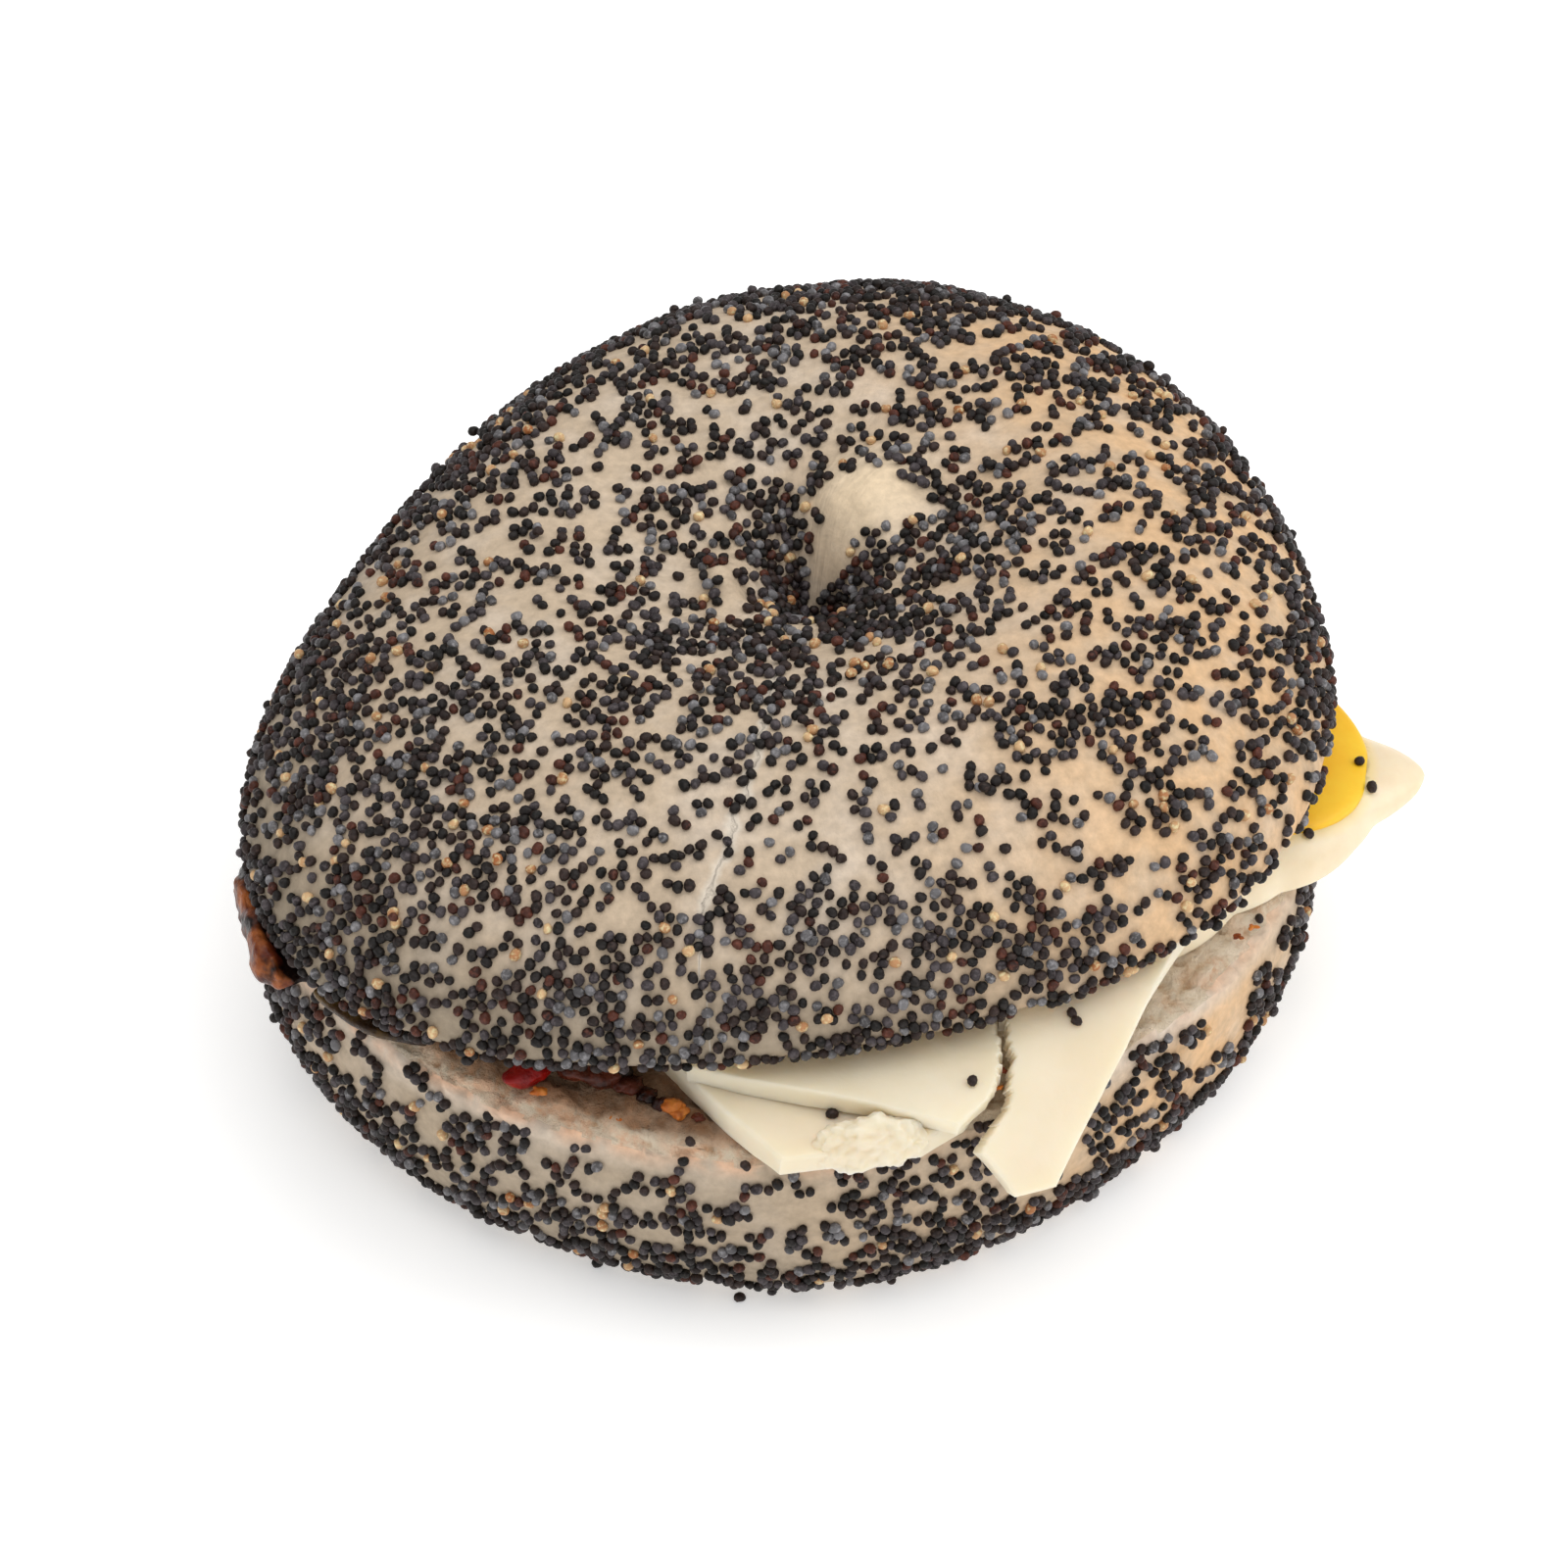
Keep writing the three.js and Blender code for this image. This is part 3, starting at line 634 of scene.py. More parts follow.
def dress_half(piece, flat, cut, **tints):
    """Gives the cut face the crumb and the rest the crust, and paints the tints."""
    paint_course(piece, flat)
    paint_crack(piece, flat, tints.get("crack", ()))
    for name in ("baked", "dull", "floury", "waxy", "stain", "soaked"):
        paint(piece, name, np.clip(tints.get(name, np.zeros(len(cut))), 0, 1))
    for material in (CRUST, CRUMB_SURFACE):
        piece.data.materials.append(material)
    torn = np.maximum(cut, tints.get("torn", 0) > 0.5)
    faces = [all(torn[v] for v in face.vertices) for face in piece.data.polygons]
    piece.data.polygons.foreach_set("material_index", [int(f) for f in faces])
    piece.data.update()


CRUST = crust_material()
CRUMB_SURFACE = crumb_material()

below_rim = BASE_HEIGHT - base_points[:, 2]
inside_rim = rim_distance(base_flat, base_cut)
spread_side = np.clip(1.4 * around(base_points, 245, 62), 0, 1) + 0.7 * around(base_points, 333, 24)
base_stain = smooth(1 - inside_rim / 5) * smooth(1 - (BASE_HEIGHT - base_flat[:, 2]) / 3) * spread_side
base_stain *= np.clip(0.7 + 1.7 * rough(base_points, 3, 9) + 0.8 * rough(base_points, 1, 10), 0, 1)
torn_height = worn * (1.2 + 1.1 * rough(base_points, 2.2, 12))
base_torn = (BASE_HEIGHT - base_flat[:, 2] < torn_height) & ~base_cut
dress_half(
    base, base_flat, base_cut,
    baked=1.4 * near(base_points, (38, -28, 10), 26) + 0.4 * near(base_points, (14, -46, 8), 24),
    # Painted shade on the front left and low down on the base, over a slightly greyer crust.
    dull=0.1 + 0.5 * around(base_points, 245, 75) + 0.3 * smooth((14 - base_points[:, 2]) / 9),
    floury=smooth(1.2 - below_rim / 4) * (around(base_points, 230, 52) + around(base_points, 322, 40)),
    stain=0.85 * base_stain,
    # Painted shade on the crumb inside the rim, under the crown, except at the back right; partly soaked
    # crumb.
    soaked=0.9 * smooth((inside_rim - 0.6) / 1.8) * (1 - smooth(2 * around(base_points, 335, 60))),
    torn=base_torn,
)

right_side = smooth((crown_points[:, 0] - 2) / 40)
dress_half(
    crown, crown_flat, on_cut,
    crack=CRACK,
    # The lip behind the pit: a paler tint with a painted highlight.
    waxy=near(crown_points, (8.5, 16, 43.5), 9),
    baked=0.9 * right_side + 0.4 * near(crown_points, (24, 40, 44), 26),
    # Painted shade low on the crown's front and on its left, partly the crust's own grey.
    dull=0.1 * smooth((-crown_points[:, 0] - 14) / 34)
    + 0.95 * smooth((41 - crown_points[:, 2]) / 13) * (1 - right_side),
)
for half, solid in ((crown, "top_half"), (base, "bottom_half")):
    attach(half, ROOT)
    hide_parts(solid)
print("both halves dressed")

# %% [markdown]
# ## One poppy seed
# A poppy seed is a kidney, about a millimetre long, with a notch on one side. A small sphere of 90
# triangles is pressed flat and bent. More faces would not show, and thousands of copies are coming.

# %% Seed form
SEED_LENGTH, SEED_WIDTH, SEED_HEIGHT = 1.1, 0.98, 0.88


def kidney():
    """The points and triangles of one seed, lying on its flat side, in millimetres."""
    deselect_all()
    bpy.ops.mesh.primitive_uv_sphere_add(segments=9, ring_count=6, radius=0.52 * MM)
    seed = bpy.context.object
    bpy.ops.object.mode_set(mode="EDIT")
    bpy.ops.mesh.select_all(action="SELECT")
    bpy.ops.transform.resize(value=(SEED_LENGTH, SEED_WIDTH, SEED_HEIGHT))
    bpy.ops.mesh.quads_convert_to_tris()
    bpy.ops.object.mode_set(mode="OBJECT")
    points = points_of(seed)
    notch = np.exp(-(points[:, 0] / 0.16) ** 2) * (points[:, 1] < 0)
    points[:, 1] += 0.2 * notch - 0.12 * points[:, 0] ** 2
    triangles = np.array([list(face.vertices) for face in seed.data.polygons])
    bpy.data.objects.remove(seed)
    return points, triangles


seed_points, seed_triangles = kidney()
print("one seed:", len(seed_triangles), "triangles")

# %% [markdown]
# ## Sowing the crust
# The wet dough was pressed into seeds, so they stick in clumps of up to twenty that touch each other, with
# bare lanes between the clumps. Each clump grows seed by seed, mostly along the way the dough was rolled,
# and keeps its distance from the other clumps. A particle system could scatter seeds too, but it makes no
# clumps or lanes and would be lost when the model leaves Blender. Operators may number a mesh's faces
# differently each time, so the faces are sorted first, and the same seeds are drawn in every run.

# %% Sowing
CLUMP_SIZES = [1, 2, 3, 4, 6, 8, 10, 13, 17, 22]
CLUMP_ODDS = [0.10, 0.12, 0.12, 0.13, 0.13, 0.12, 0.10, 0.08, 0.06, 0.04]
SEED_GAP = 0.86
SEED_STEP = (0.9, 1.1)
WIDEST_LANE, NARROWEST_LANE = 2.3, 0.9
CELL = 2.4
PILED_SHARE = 0.07
PILED_LIFT = 0.5
GRAIN = Vector((math.cos(math.radians(40)), math.sin(math.radians(40)), 0))


def from_lowest(corners):
    """A face's corners in the same turn, from the one with the lowest number on."""
    corners = list(corners)
    start = corners.index(min(corners))
    return corners[start:] + corners[:start]


def face_area(corners):
    """The area of a face of four corners, or of three, from its diagonals."""
    return np.linalg.norm(np.cross(corners[2] - corners[0], corners[-1] - corners[1])) / 2


class Sower:
    """Finds places for seeds on one half of the bagel."""

    def __init__(self, piece, points, density, seed):
        self.draw = np.random.default_rng(seed)
        polygons = piece.data.polygons
        sorted_faces = sorted((from_lowest(face.vertices), face.material_index) for face in polygons)
        faces = [corners for corners, _ in sorted_faces]
        self.tree = BVHTree.FromPolygons([Vector(point) * MM for point in points], faces)
        self.centres = np.array([points[face].mean(axis=0) for face in faces])
        self.thickness = density(self.centres)
        crust = np.array([material == 0 for _, material in sorted_faces])
        areas = np.array([face_area(points[face]) for face in faces])
        weight = areas * crust * (self.thickness > 0.02) * (0.4 + self.thickness)
        self.order = self.draw.choice(len(faces), size=60000, p=weight / weight.sum())
        self.taken = {}
        self.places = []

    def cell(self, point):
        return tuple(int(math.floor(c / CELL)) for c in point)

    def free(self, point, clump, lane):
        """True if no seed of this clump touches the point and no other clump is nearer than the lane."""
        i, j, k = self.cell(point)
        for x in (i - 1, i, i + 1):
            for y in (j - 1, j, j + 1):
                for z in (k - 1, k, k + 1):
                    for other, owner in self.taken.get((x, y, z), ()):
                        if (point - other).length < (SEED_GAP if owner == clump else lane):
                            return False
        return True

    def sow(self, point, clump, lane):
        """Puts a seed on the crust next to a point, if there is room, and returns its place."""
        ground, normal, face, _ = self.tree.find_nearest(point * MM)
        ground = ground / MM
        if self.thickness[face] < 0.02 or not self.free(ground, clump, lane):
            return None
        self.taken.setdefault(self.cell(ground), []).append((ground, clump))
        self.places.append((ground, normal))
        return ground, normal

    def step_from(self, place):
        """One seed's length over the crust, mostly along the grain."""
        ground, normal = place
        tangent = (GRAIN - normal * GRAIN.dot(normal)).normalized()
        angle = self.draw.normal(0, 1.1) + self.draw.integers(2) * math.pi
        step = tangent * math.cos(angle) + normal.cross(tangent) * math.sin(angle)
        return ground + step * self.draw.uniform(*SEED_STEP)

    def clump(self, start, number):
        """Grows one clump from a face of the crust."""
        lane = WIDEST_LANE + (NARROWEST_LANE - WIDEST_LANE) * float(self.thickness[start])
        first = self.sow(Vector(self.centres[start]), number, lane)
        if not first:
            return
        grown = [first]
        for _ in range(self.draw.choice(CLUMP_SIZES, p=CLUMP_ODDS)):
            parent = grown[self.draw.integers(len(grown))]
            place = self.sow(self.step_from(parent), number, 0.8 * lane)
            if place:
                grown.append(place)
        for _ in range(int(len(grown) * PILED_SHARE + self.draw.random())):
            ground, normal = grown[self.draw.integers(len(grown))]
            if len(grown) > 4:
                over = ground + (self.step_from((ground, normal)) - ground) * 0.5
                self.places.append((over + normal * PILED_LIFT, normal))

    def fill(self, count):
        """Sows clumps until there are enough seeds or there is no more room."""
        for number, start in enumerate(self.order):
            if len(self.places) >= count:
                break
            self.clump(start, number)
        return self.places


# %% [markdown]
# Where the seeds are thick or missing follows the real bagel: none on the swollen lip behind the pit, bare
# lanes behind and on the right, a thick drift in front of the pit, more on the left, and a floury band
# under the cut rim of the base. Patches on the crown are given from the middle of the lathe.

# %% Where seeds lie
BARE_PATCHES = [
    ((6.0, 8.3), (5.3, 2.5), -22),       # swollen lip
    ((2.8, 6.0), (1.7, 2.0), 0),         # foot of the lip
    ((-5.9, -1.8), (1.6, 1.1), -20),     # small bump
    ((-11.0, -1.2), (2.2, 1.0), -35),    # hollow left of the pit
    ((-15.8, -14.0), (2.6, 0.8), -40),   # lane on the left
    ((18.5, 30.5), (5.6, 1.3), 35),      # lane behind on the right
    ((18.0, -13.8), (10.0, 0.8), 50),    # long lane on the right
    ((33.0, 8.0), (1.2, 4.0), 10),       # lane at the right
    ((-20.0, 22.0), (1.0, 4.0), -40),    # lane behind on the left
]
DRIFTS = [
    ((0.0, -8.6), (14.0, 3.6), 4, 0.75),     # in front of the pit
    ((2.0, 0.5), (5.5, 4.0), 0, 1.0),        # inside the pit
    ((-3.0, 6.5), (3.2, 6.0), 0, 0.6),       # left of the crease
    ((10.5, 1.0), (5.5, 5.0), 0, 0.6),       # right of the lip
    ((-40.0, -24.0), (12.0, 18.0), 0, 0.2),  # left side
    ((-6.0, 47.0), (28.0, 8.0), 0, 0.35),    # back
    ((-5.0, -46.0), (40.0, 5.0), 8, 0.5),    # front rim
    ((5.0, -36.0), (28.0, 7.0), 8, -0.25),   # front slope
    ((-30.0, -36.0), (13.0, 11.0), -30, 0.35),  # low on the left
    ((-24.0, -6.0), (12.0, 12.0), 0, -0.2),   # left of the middle
]
THIN_SIZE = 9.0
STREAK_WIDTH, STREAK_LENGTH = 2.4, 5.0


def in_ellipse(x, y, centre, radii, turn):
    """1 inside an ellipse in plan, fading out at its edge."""
    angle = math.radians(turn)
    u = ((x - centre[0]) * math.cos(angle) + (y - centre[1]) * math.sin(angle)) / radii[0]
    v = ((y - centre[1]) * math.cos(angle) - (x - centre[0]) * math.sin(angle)) / radii[1]
    return smooth((1.2 - np.hypot(u, v)) / 0.4)


def streaks(points, seed):
    """Bare lanes, 0, between streaks of seeds, 1, drawn out along the grain."""
    along_grain = points @ np.array(GRAIN) * STREAK_WIDTH / STREAK_LENGTH
    across = points @ np.array((-GRAIN.y, GRAIN.x, 0))
    field = rough(np.stack([along_grain, across, points[:, 2]], 1), STREAK_WIDTH, seed)
    return smooth((field + 0.3 * rough(points, 1.5, seed + 1) + 0.34) / 0.5)


def crown_density(points):
    """How thick the seeds lie on the crown, from 0 to 1."""
    x, y = points[:, 0] - CROWN_PLACE[0], points[:, 1] - CROWN_PLACE[1]
    thickness = 0.12 + streaks(points, 5) * (0.62 + 0.45 * rough(points, THIN_SIZE, 5))
    for centre, radii, turn, more in DRIFTS:
        thickness = thickness + more * in_ellipse(x, y, centre, radii, turn)
    bare = np.max([in_ellipse(x, y, *patch) for patch in BARE_PATCHES], axis=0)
    return np.clip(thickness, 0.05, 1) * (bare < 0.5)


def base_density(points):
    """How thick the seeds lie on the base, from 0 to 1."""
    low = smooth((13 - points[:, 2]) / 9)
    left = around(points, 205, 60)
    thickness = 0.15 + streaks(points, 6) * (0.7 + 0.4 * rough(points, THIN_SIZE, 6))
    thickness += 0.45 * low + 0.3 * left
    band = 0.8 + 1.9 * around(points, 250, 42) + 3.0 * around(points, 334, 22)
    bare_rim = points[:, 2] > BASE_HEIGHT - band * (1 + 0.6 * rough(points, 3.0, 7))
    return np.clip(thickness, 0.05, 1) * ~bare_rim * (points[:, 2] > 1.2)


CROWN_SEED_COUNT = 6250
BASE_SEED_COUNT = 3000
crown_seeds = Sower(crown, crown_points, crown_density, 41).fill(CROWN_SEED_COUNT)
base_seeds = Sower(base, base_points, base_density, 42).fill(BASE_SEED_COUNT)
print("seeds on the crown:", len(crown_seeds), "and on the base:", len(base_seeds))

# %% [markdown]
# ## From places to seeds
# The one kidney is copied to every place in a single array of points, turned at random about the crust's
# normal and sunk a little. Each colour is one joined mesh. Every seed keeps a tone of its own in an
# attribute, so one material gives them all a different bloom.

# %% Seed meshes
SEED_KINDS = {"black": 0.27, "dark": 0.27, "slate": 0.22, "bloomed": 0.12, "brown": 0.09, "pale": 0.03}
SEED_SUNK = 0.14


def seed_mesh(name, places, draw):
    """All the seeds of one kind as one mesh, with a tone painted on each."""
    all_points, tones = [], []
    for place, normal in places:
        spin = Matrix.Rotation(draw.uniform(0, 2 * math.pi), 3, "Z")
        lean = Matrix.Rotation(draw.normal(0, 0.22), 3, "X") @ Matrix.Rotation(draw.normal(0, 0.22), 3, "Y")
        upright = normal.to_track_quat("Z", "Y").to_matrix()
        size = draw.uniform(0.86, 1.1)
        turn = np.array(upright @ lean @ spin)
        centre = np.array(place + normal * (SEED_HEIGHT / 2 * size - SEED_SUNK))
        all_points.append(seed_points * size @ turn.T + centre)
        tones.append(np.full(len(seed_points), draw.random()))
    points = np.concatenate(all_points) * MM
    count, corners = len(places), len(seed_points)
    offsets = (np.arange(count) * corners)[:, None, None]
    triangles = (seed_triangles[None] + offsets).reshape(-1, 3)
    mesh = bpy.data.meshes.new(name)
    mesh.from_pydata(points.tolist(), [], triangles.tolist())
    mesh.shade_smooth()
    piece = bpy.data.objects.new(name, mesh)
    bpy.context.scene.collection.objects.link(piece)
    paint(piece, "tone", np.concatenate(tones))
    return piece


SEED_COLOURS = {
    "black": ((0.005, 0.004, 0.003), (0.014, 0.010, 0.009)),
    "dark": ((0.009, 0.005, 0.004), (0.030, 0.017, 0.014)),
    "slate": ((0.017, 0.012, 0.013), (0.062, 0.051, 0.054)),
    "bloomed": ((0.055, 0.051, 0.052), (0.185, 0.178, 0.184)),
    "brown": ((0.020, 0.007, 0.005), (0.080, 0.022, 0.012)),
    "pale": ((0.36, 0.12, 0.035), (0.70, 0.46, 0.24)),
}


def seed_material(kind):
    material, tree, shader = new_material("seed_" + kind, Roughness=0.5)
    shader.inputs["Specular IOR Level"].default_value = 0.25
    dull, bright = SEED_COLOURS[kind]
    tone = blend(tree, painted(tree, "tone"), dull, bright)
    dust = remap(tree, clouds(tree, 0.4, detail=3), 0.48, 0.7, 0.0, 0.55)
    tone = blend(tree, dust, tone, tuple(min(1, 2.4 * c + 0.012) for c in bright))
    tree.links.new(tone, shader.inputs["Base Color"])
    bump(tree, shader, clouds(tree, 0.16, detail=1), 0.06, 0.8)
    return material


def sow_half(half_name, places, seed):
    """Sorts the places of one half into kinds and makes a mesh of each."""
    draw = np.random.default_rng(seed)
    kinds = draw.choice(list(SEED_KINDS), size=len(places), p=list(SEED_KINDS.values()))
    for kind in SEED_KINDS:
        chosen = [place for place, k in zip(places, kinds) if k == kind]
        piece = seed_mesh(f"seeds_{half_name}_{kind}", chosen, draw)
        piece.data.materials.append(SEED_MATERIALS[kind])
        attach(piece, ROOT)
        print(piece.name, len(chosen), "seeds,", len(piece.data.polygons), "triangles")


SEED_MATERIALS = {kind: seed_material(kind) for kind in SEED_KINDS}
sow_half("crown", crown_seeds, 51)
sow_half("base", base_seeds, 52)

# %% [markdown]
# ## Slices of cheese
# Two slices lie on the base and bend over its rim where they hang out. The upper one has torn in two. A
# flat grid is laid out between a left and a right edge, draped, and given its thickness by Solidify.
# Cloth could drape too, but cheese bends in one stiff curve, which a formula gives exactly.

# %% Draping a slice


def fall_along(s, slope_in, slope_out, bend_from, bend_to):
    """How far a slice has fallen on its way out, when its slope turns evenly from one angle to another."""
    first, last = math.radians(slope_in), math.radians(slope_out)
    turn = (last - first) / (bend_to - bend_from)
    in_bend = np.clip(s, bend_from, bend_to)
    bent = np.log(math.cos(first) / np.cos(first + turn * (in_bend - bend_from))) / turn
    before = np.minimum(0, s - bend_from) * math.tan(first)
    return before + bent + np.maximum(0, s - bend_to) * math.tan(last)


def draped_height(x, y, heading, rim, height, lean, **slopes):
    """The height of a slice's upper face at each place."""
    ux, uy = math.cos(math.radians(heading)), math.sin(math.radians(heading))
    s = x * ux + y * uy - rim
    t = y * ux - x * uy
    return height + fall_along(0, **slopes) - fall_along(s, **slopes) + t * math.tan(math.radians(lean))


def along(edge, share):
    """Points at shares of the length of an edge of straight stretches."""
    edge = np.array(edge, dtype=float)
    rows = np.linspace(0, 1, len(edge))
    return np.stack([np.interp(share, rows, edge[:, k]) for k in (0, 1)], 1)


def add_modifier(piece, kind, **settings):
    """Adds a modifier, sets it and applies it."""
    use_only(piece)
    bpy.ops.object.modifier_add(type=kind)
    modifier = piece.modifiers[-1]
    for name, value in settings.items():
        setattr(modifier, name, value)
    bpy.ops.object.modifier_apply(modifier=modifier.name)


TEAR_CLOSED = 0.7
EDGE_RADIUS = 0.45
EDGE_ROWS = 5
GRID = (52, 150)


def eased(share, length, rows):
    """Distances along a grid of some length, with a few close rows at both ends for the rounded edge."""
    rim = EDGE_ROWS / rows
    from_end = np.minimum(share, 1 - share)
    outer = EDGE_RADIUS * (from_end / rim) ** 1.5
    inner = EDGE_RADIUS + (from_end - rim) / (0.5 - rim) * (length / 2 - EDGE_RADIUS)
    distance = np.where(from_end < rim, outer, inner)
    return np.where(share < 0.5, distance, length - distance)


def slice_of_cheese(name, left, right, thickness, drape, torn_left=0.0, torn_right=0.0):
    """One slice, with torn edges wherever they are asked for."""
    deselect_all()
    bpy.ops.mesh.primitive_grid_add(x_subdivisions=GRID[0], y_subdivisions=GRID[1], size=1)
    piece = bpy.context.object
    piece.name = name
    grid = points_of(piece) * MM + 0.5
    length = np.linalg.norm(np.diff(np.array(left, dtype=float), axis=0), axis=1).sum()
    out = eased(grid[:, 1], length, GRID[1]) / length
    start, end = along(left, out), along(right, out)
    width = np.linalg.norm(end - start, axis=1)
    from_left = eased(grid[:, 0], width, GRID[0])
    from_right = width - from_left
    from_edge = np.minimum(np.minimum(from_left, from_right), length * np.minimum(out, 1 - out))
    ragged = rough(np.stack([out * 60, out * 0, out * 0], 1), 1.3, 7)
    ragged += 0.5 * rough(np.stack([out * 60, out * 0, out * 0 + 9], 1), 0.5, 8)
    ragged *= smooth(width / 5)
    shift = torn_right * (TEAR_CLOSED - ragged) * smooth(1 - from_right / 3)
    shift = shift - torn_left * (TEAR_CLOSED - ragged) * smooth(1 - from_left / 3)
    shift = shift * smooth(((1 - out) * length - 4.5) / 4)
    plan = start + (end - start) * ((from_left + shift) / width)[:, None]
    x, y = plan[:, 0], plan[:, 1]
    set_points(piece, np.stack([x, y, draped_height(x, y, **drape)], 1))
    use_only(piece)
    bpy.ops.object.mode_set(mode="EDIT")
    bpy.ops.mesh.select_all(action="SELECT")
    bpy.ops.mesh.normals_make_consistent(inside=False)
    bpy.ops.object.mode_set(mode="OBJECT")
    if sum(face.normal.z for face in piece.data.polygons) < 0:
        bpy.ops.object.mode_set(mode="EDIT")
        bpy.ops.mesh.flip_normals()
        bpy.ops.object.mode_set(mode="OBJECT")
    add_modifier(piece, "SOLIDIFY", thickness=thickness * MM, offset=-1)
    points = points_of(piece)
    upper, lower = points[:len(out)], points[len(out):2 * len(out)]
    down = (lower - upper) / np.linalg.norm(lower - upper, axis=1)[:, None]
    short = np.clip(EDGE_RADIUS - from_edge, 0, EDGE_RADIUS)
    sink = (EDGE_RADIUS - np.sqrt(EDGE_RADIUS ** 2 - short ** 2))[:, None]
    points[:len(out)] = upper + down * sink
    points[len(out):2 * len(out)] = lower - down * sink
    set_points(piece, points)
    use_only(piece)
    bpy.ops.object.shade_smooth_by_angle(angle=math.radians(40))
    return piece


def crumbled_ridge(start, end, radius, height):
    """A torn, lifted ridge of cheese along a line over the slice's end, crumbly all over."""
    deselect_all()
    lying = (0, math.pi / 2, 0)
    bpy.ops.mesh.primitive_uv_sphere_add(segments=96, ring_count=64, radius=MM, rotation=lying)
    bpy.ops.object.transform_apply(rotation=True)
    piece = bpy.context.object
    ball = points_of(piece)
    start, end = np.array(start), np.array(end)
    line = (end - start) / np.linalg.norm(end - start)
    half = np.linalg.norm(end - start) / 2 + 0.75 * radius
    middle = (start + end) / 2
    along_line = half * np.sign(ball[:, 0]) * np.abs(ball[:, 0]) ** 0.8
    x = middle[0] + along_line * line[0] - 0.8 * radius * ball[:, 1] * line[1]
    y = middle[1] + along_line * line[1] + 0.8 * radius * ball[:, 1] * line[0]
    up = np.sign(ball[:, 2]) * np.abs(ball[:, 2]) ** 0.75
    z = draped_height(x, y, **CHEESE_LEFT["drape"]) - 0.9 + (height + 0.9) * np.maximum(up, -0.45)
    points = np.stack([x, y, z], 1)
    knobs = 0.45 * rough(points, 1.9, 11) + 0.4 * rough(points, 0.85, 12) + 0.2 * rough(points, 0.4, 13)
    set_points(piece, points + ball * knobs[:, None])
    use_only(piece)
    bpy.ops.object.shade_smooth()
    return piece


# %% [markdown]
# The three pieces of cheese repeat the plan, the bend and the thickness of their solids. A slice's plan
# is the space between two edges, each given by seven places. The torn edges get their ragged line here,
# because a tear is finer than the solid's few rows.

# %% The cheese
CHEESE_LEFT = {
    "left": [
        (-7, 12), (-11, -10), (-13, -27), (-11, -35.3), (-8.5, -38.8), (-5, -43.4), (-0.1, -48.9),
    ],
    "right": [(15, 14), (16, -8), (16, -26), (17, -36), (17.2, -41), (16, -43.6), (12.4, -46.8)],
    "thickness": 3.0,
    "drape": {"heading": -80, "rim": 46, "height": 25.35, "lean": 0.5,
              "slope_in": 0, "slope_out": 48, "bend_from": -1, "bend_to": 9},
}
RIDGE = {"start": (4.0, -47.0), "end": (11.2, -46.0), "radius": 1.9, "height": 2.1}
CHEESE_MIDDLE = {
    "left": [
        (-4, -31), (-7.2, -35.5), (-8.4, -39.7), (-3.4, -41.6), (5.4, -44.3), (10.2, -45.6), (15.4, -46.8),
    ],
    "right": [
        (15.8, -14), (16.2, -22), (17.6, -30), (18.8, -37.5), (18.8, -41), (18.3, -43.4), (18.0, -44.1),
    ],
    "thickness": 2.3,
    "drape": {"heading": -65, "rim": 46, "height": 28.3, "lean": 4.2,
              "slope_in": -1, "slope_out": 38, "bend_from": -6, "bend_to": 9},
    "torn_right": 0.45,
}
CHEESE_RIGHT = {
    "left": [
        (18, -18), (18.6, -27), (19.7, -35.8), (20.4, -39.8), (20.1, -43.6), (17.4, -47.2), (20.5, -49),
    ],
    "right": [
        (42, -10), (40.2, -16), (37.8, -22.4), (35.7, -27.2), (30.3, -37.9), (27.7, -42.2), (24.1, -47.6),
    ],
    "thickness": 2.8,
    "drape": {"heading": -65, "rim": 46, "height": 27.6, "lean": 3.3,
              "slope_in": -5.5, "slope_out": 58, "bend_from": -10, "bend_to": 7},
    "torn_left": 0.45,
}


def cheese_material():
    material, tree, shader = new_material("cheese", Roughness=0.5, Subsurface_Weight=0.7)
    shader.inputs["Subsurface Radius"].default_value = (1.0, 0.85, 0.65)
    shader.inputs["Subsurface Scale"].default_value = 3.0 * MM
    shader.inputs["Specular IOR Level"].default_value = 0.4
    slow = remap(tree, clouds(tree, 7, detail=3), 0.35, 0.7)
    tone = blend(tree, slow, (0.80, 0.69, 0.50), (0.84, 0.74, 0.57))
    tree.links.new(tone, shader.inputs["Base Color"])
    bump(tree, shader, clouds(tree, 1.6, detail=5), 0.12, 0.5)
    return material


CHEESE = cheese_material()
for name, shape in (("left", CHEESE_LEFT), ("middle", CHEESE_MIDDLE), ("right", CHEESE_RIGHT)):
    slice_piece = slice_of_cheese("slice_" + name, **shape)
    if name == "left":
        ridge = crumbled_ridge(**RIDGE)
        add_modifier(slice_piece, "BOOLEAN", object=ridge, operation="UNION", solver="EXACT")
        bpy.data.objects.remove(ridge)
    slice_piece.data.materials.append(CHEESE)
    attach(slice_piece, ROOT)
    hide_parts("cheese_" + name)
    print(slice_piece.name, len(slice_piece.data.polygons), "faces")

# %% [markdown]
# ## Fried egg
# The egg sticks out on the right: a soft white with a lobed, thinning edge, and a firm round yolk that is
# level with it. The white is a sphere pressed into its outline. A slightly larger copy of the yolk is cut
# out of it, so the two meet along a clean line.

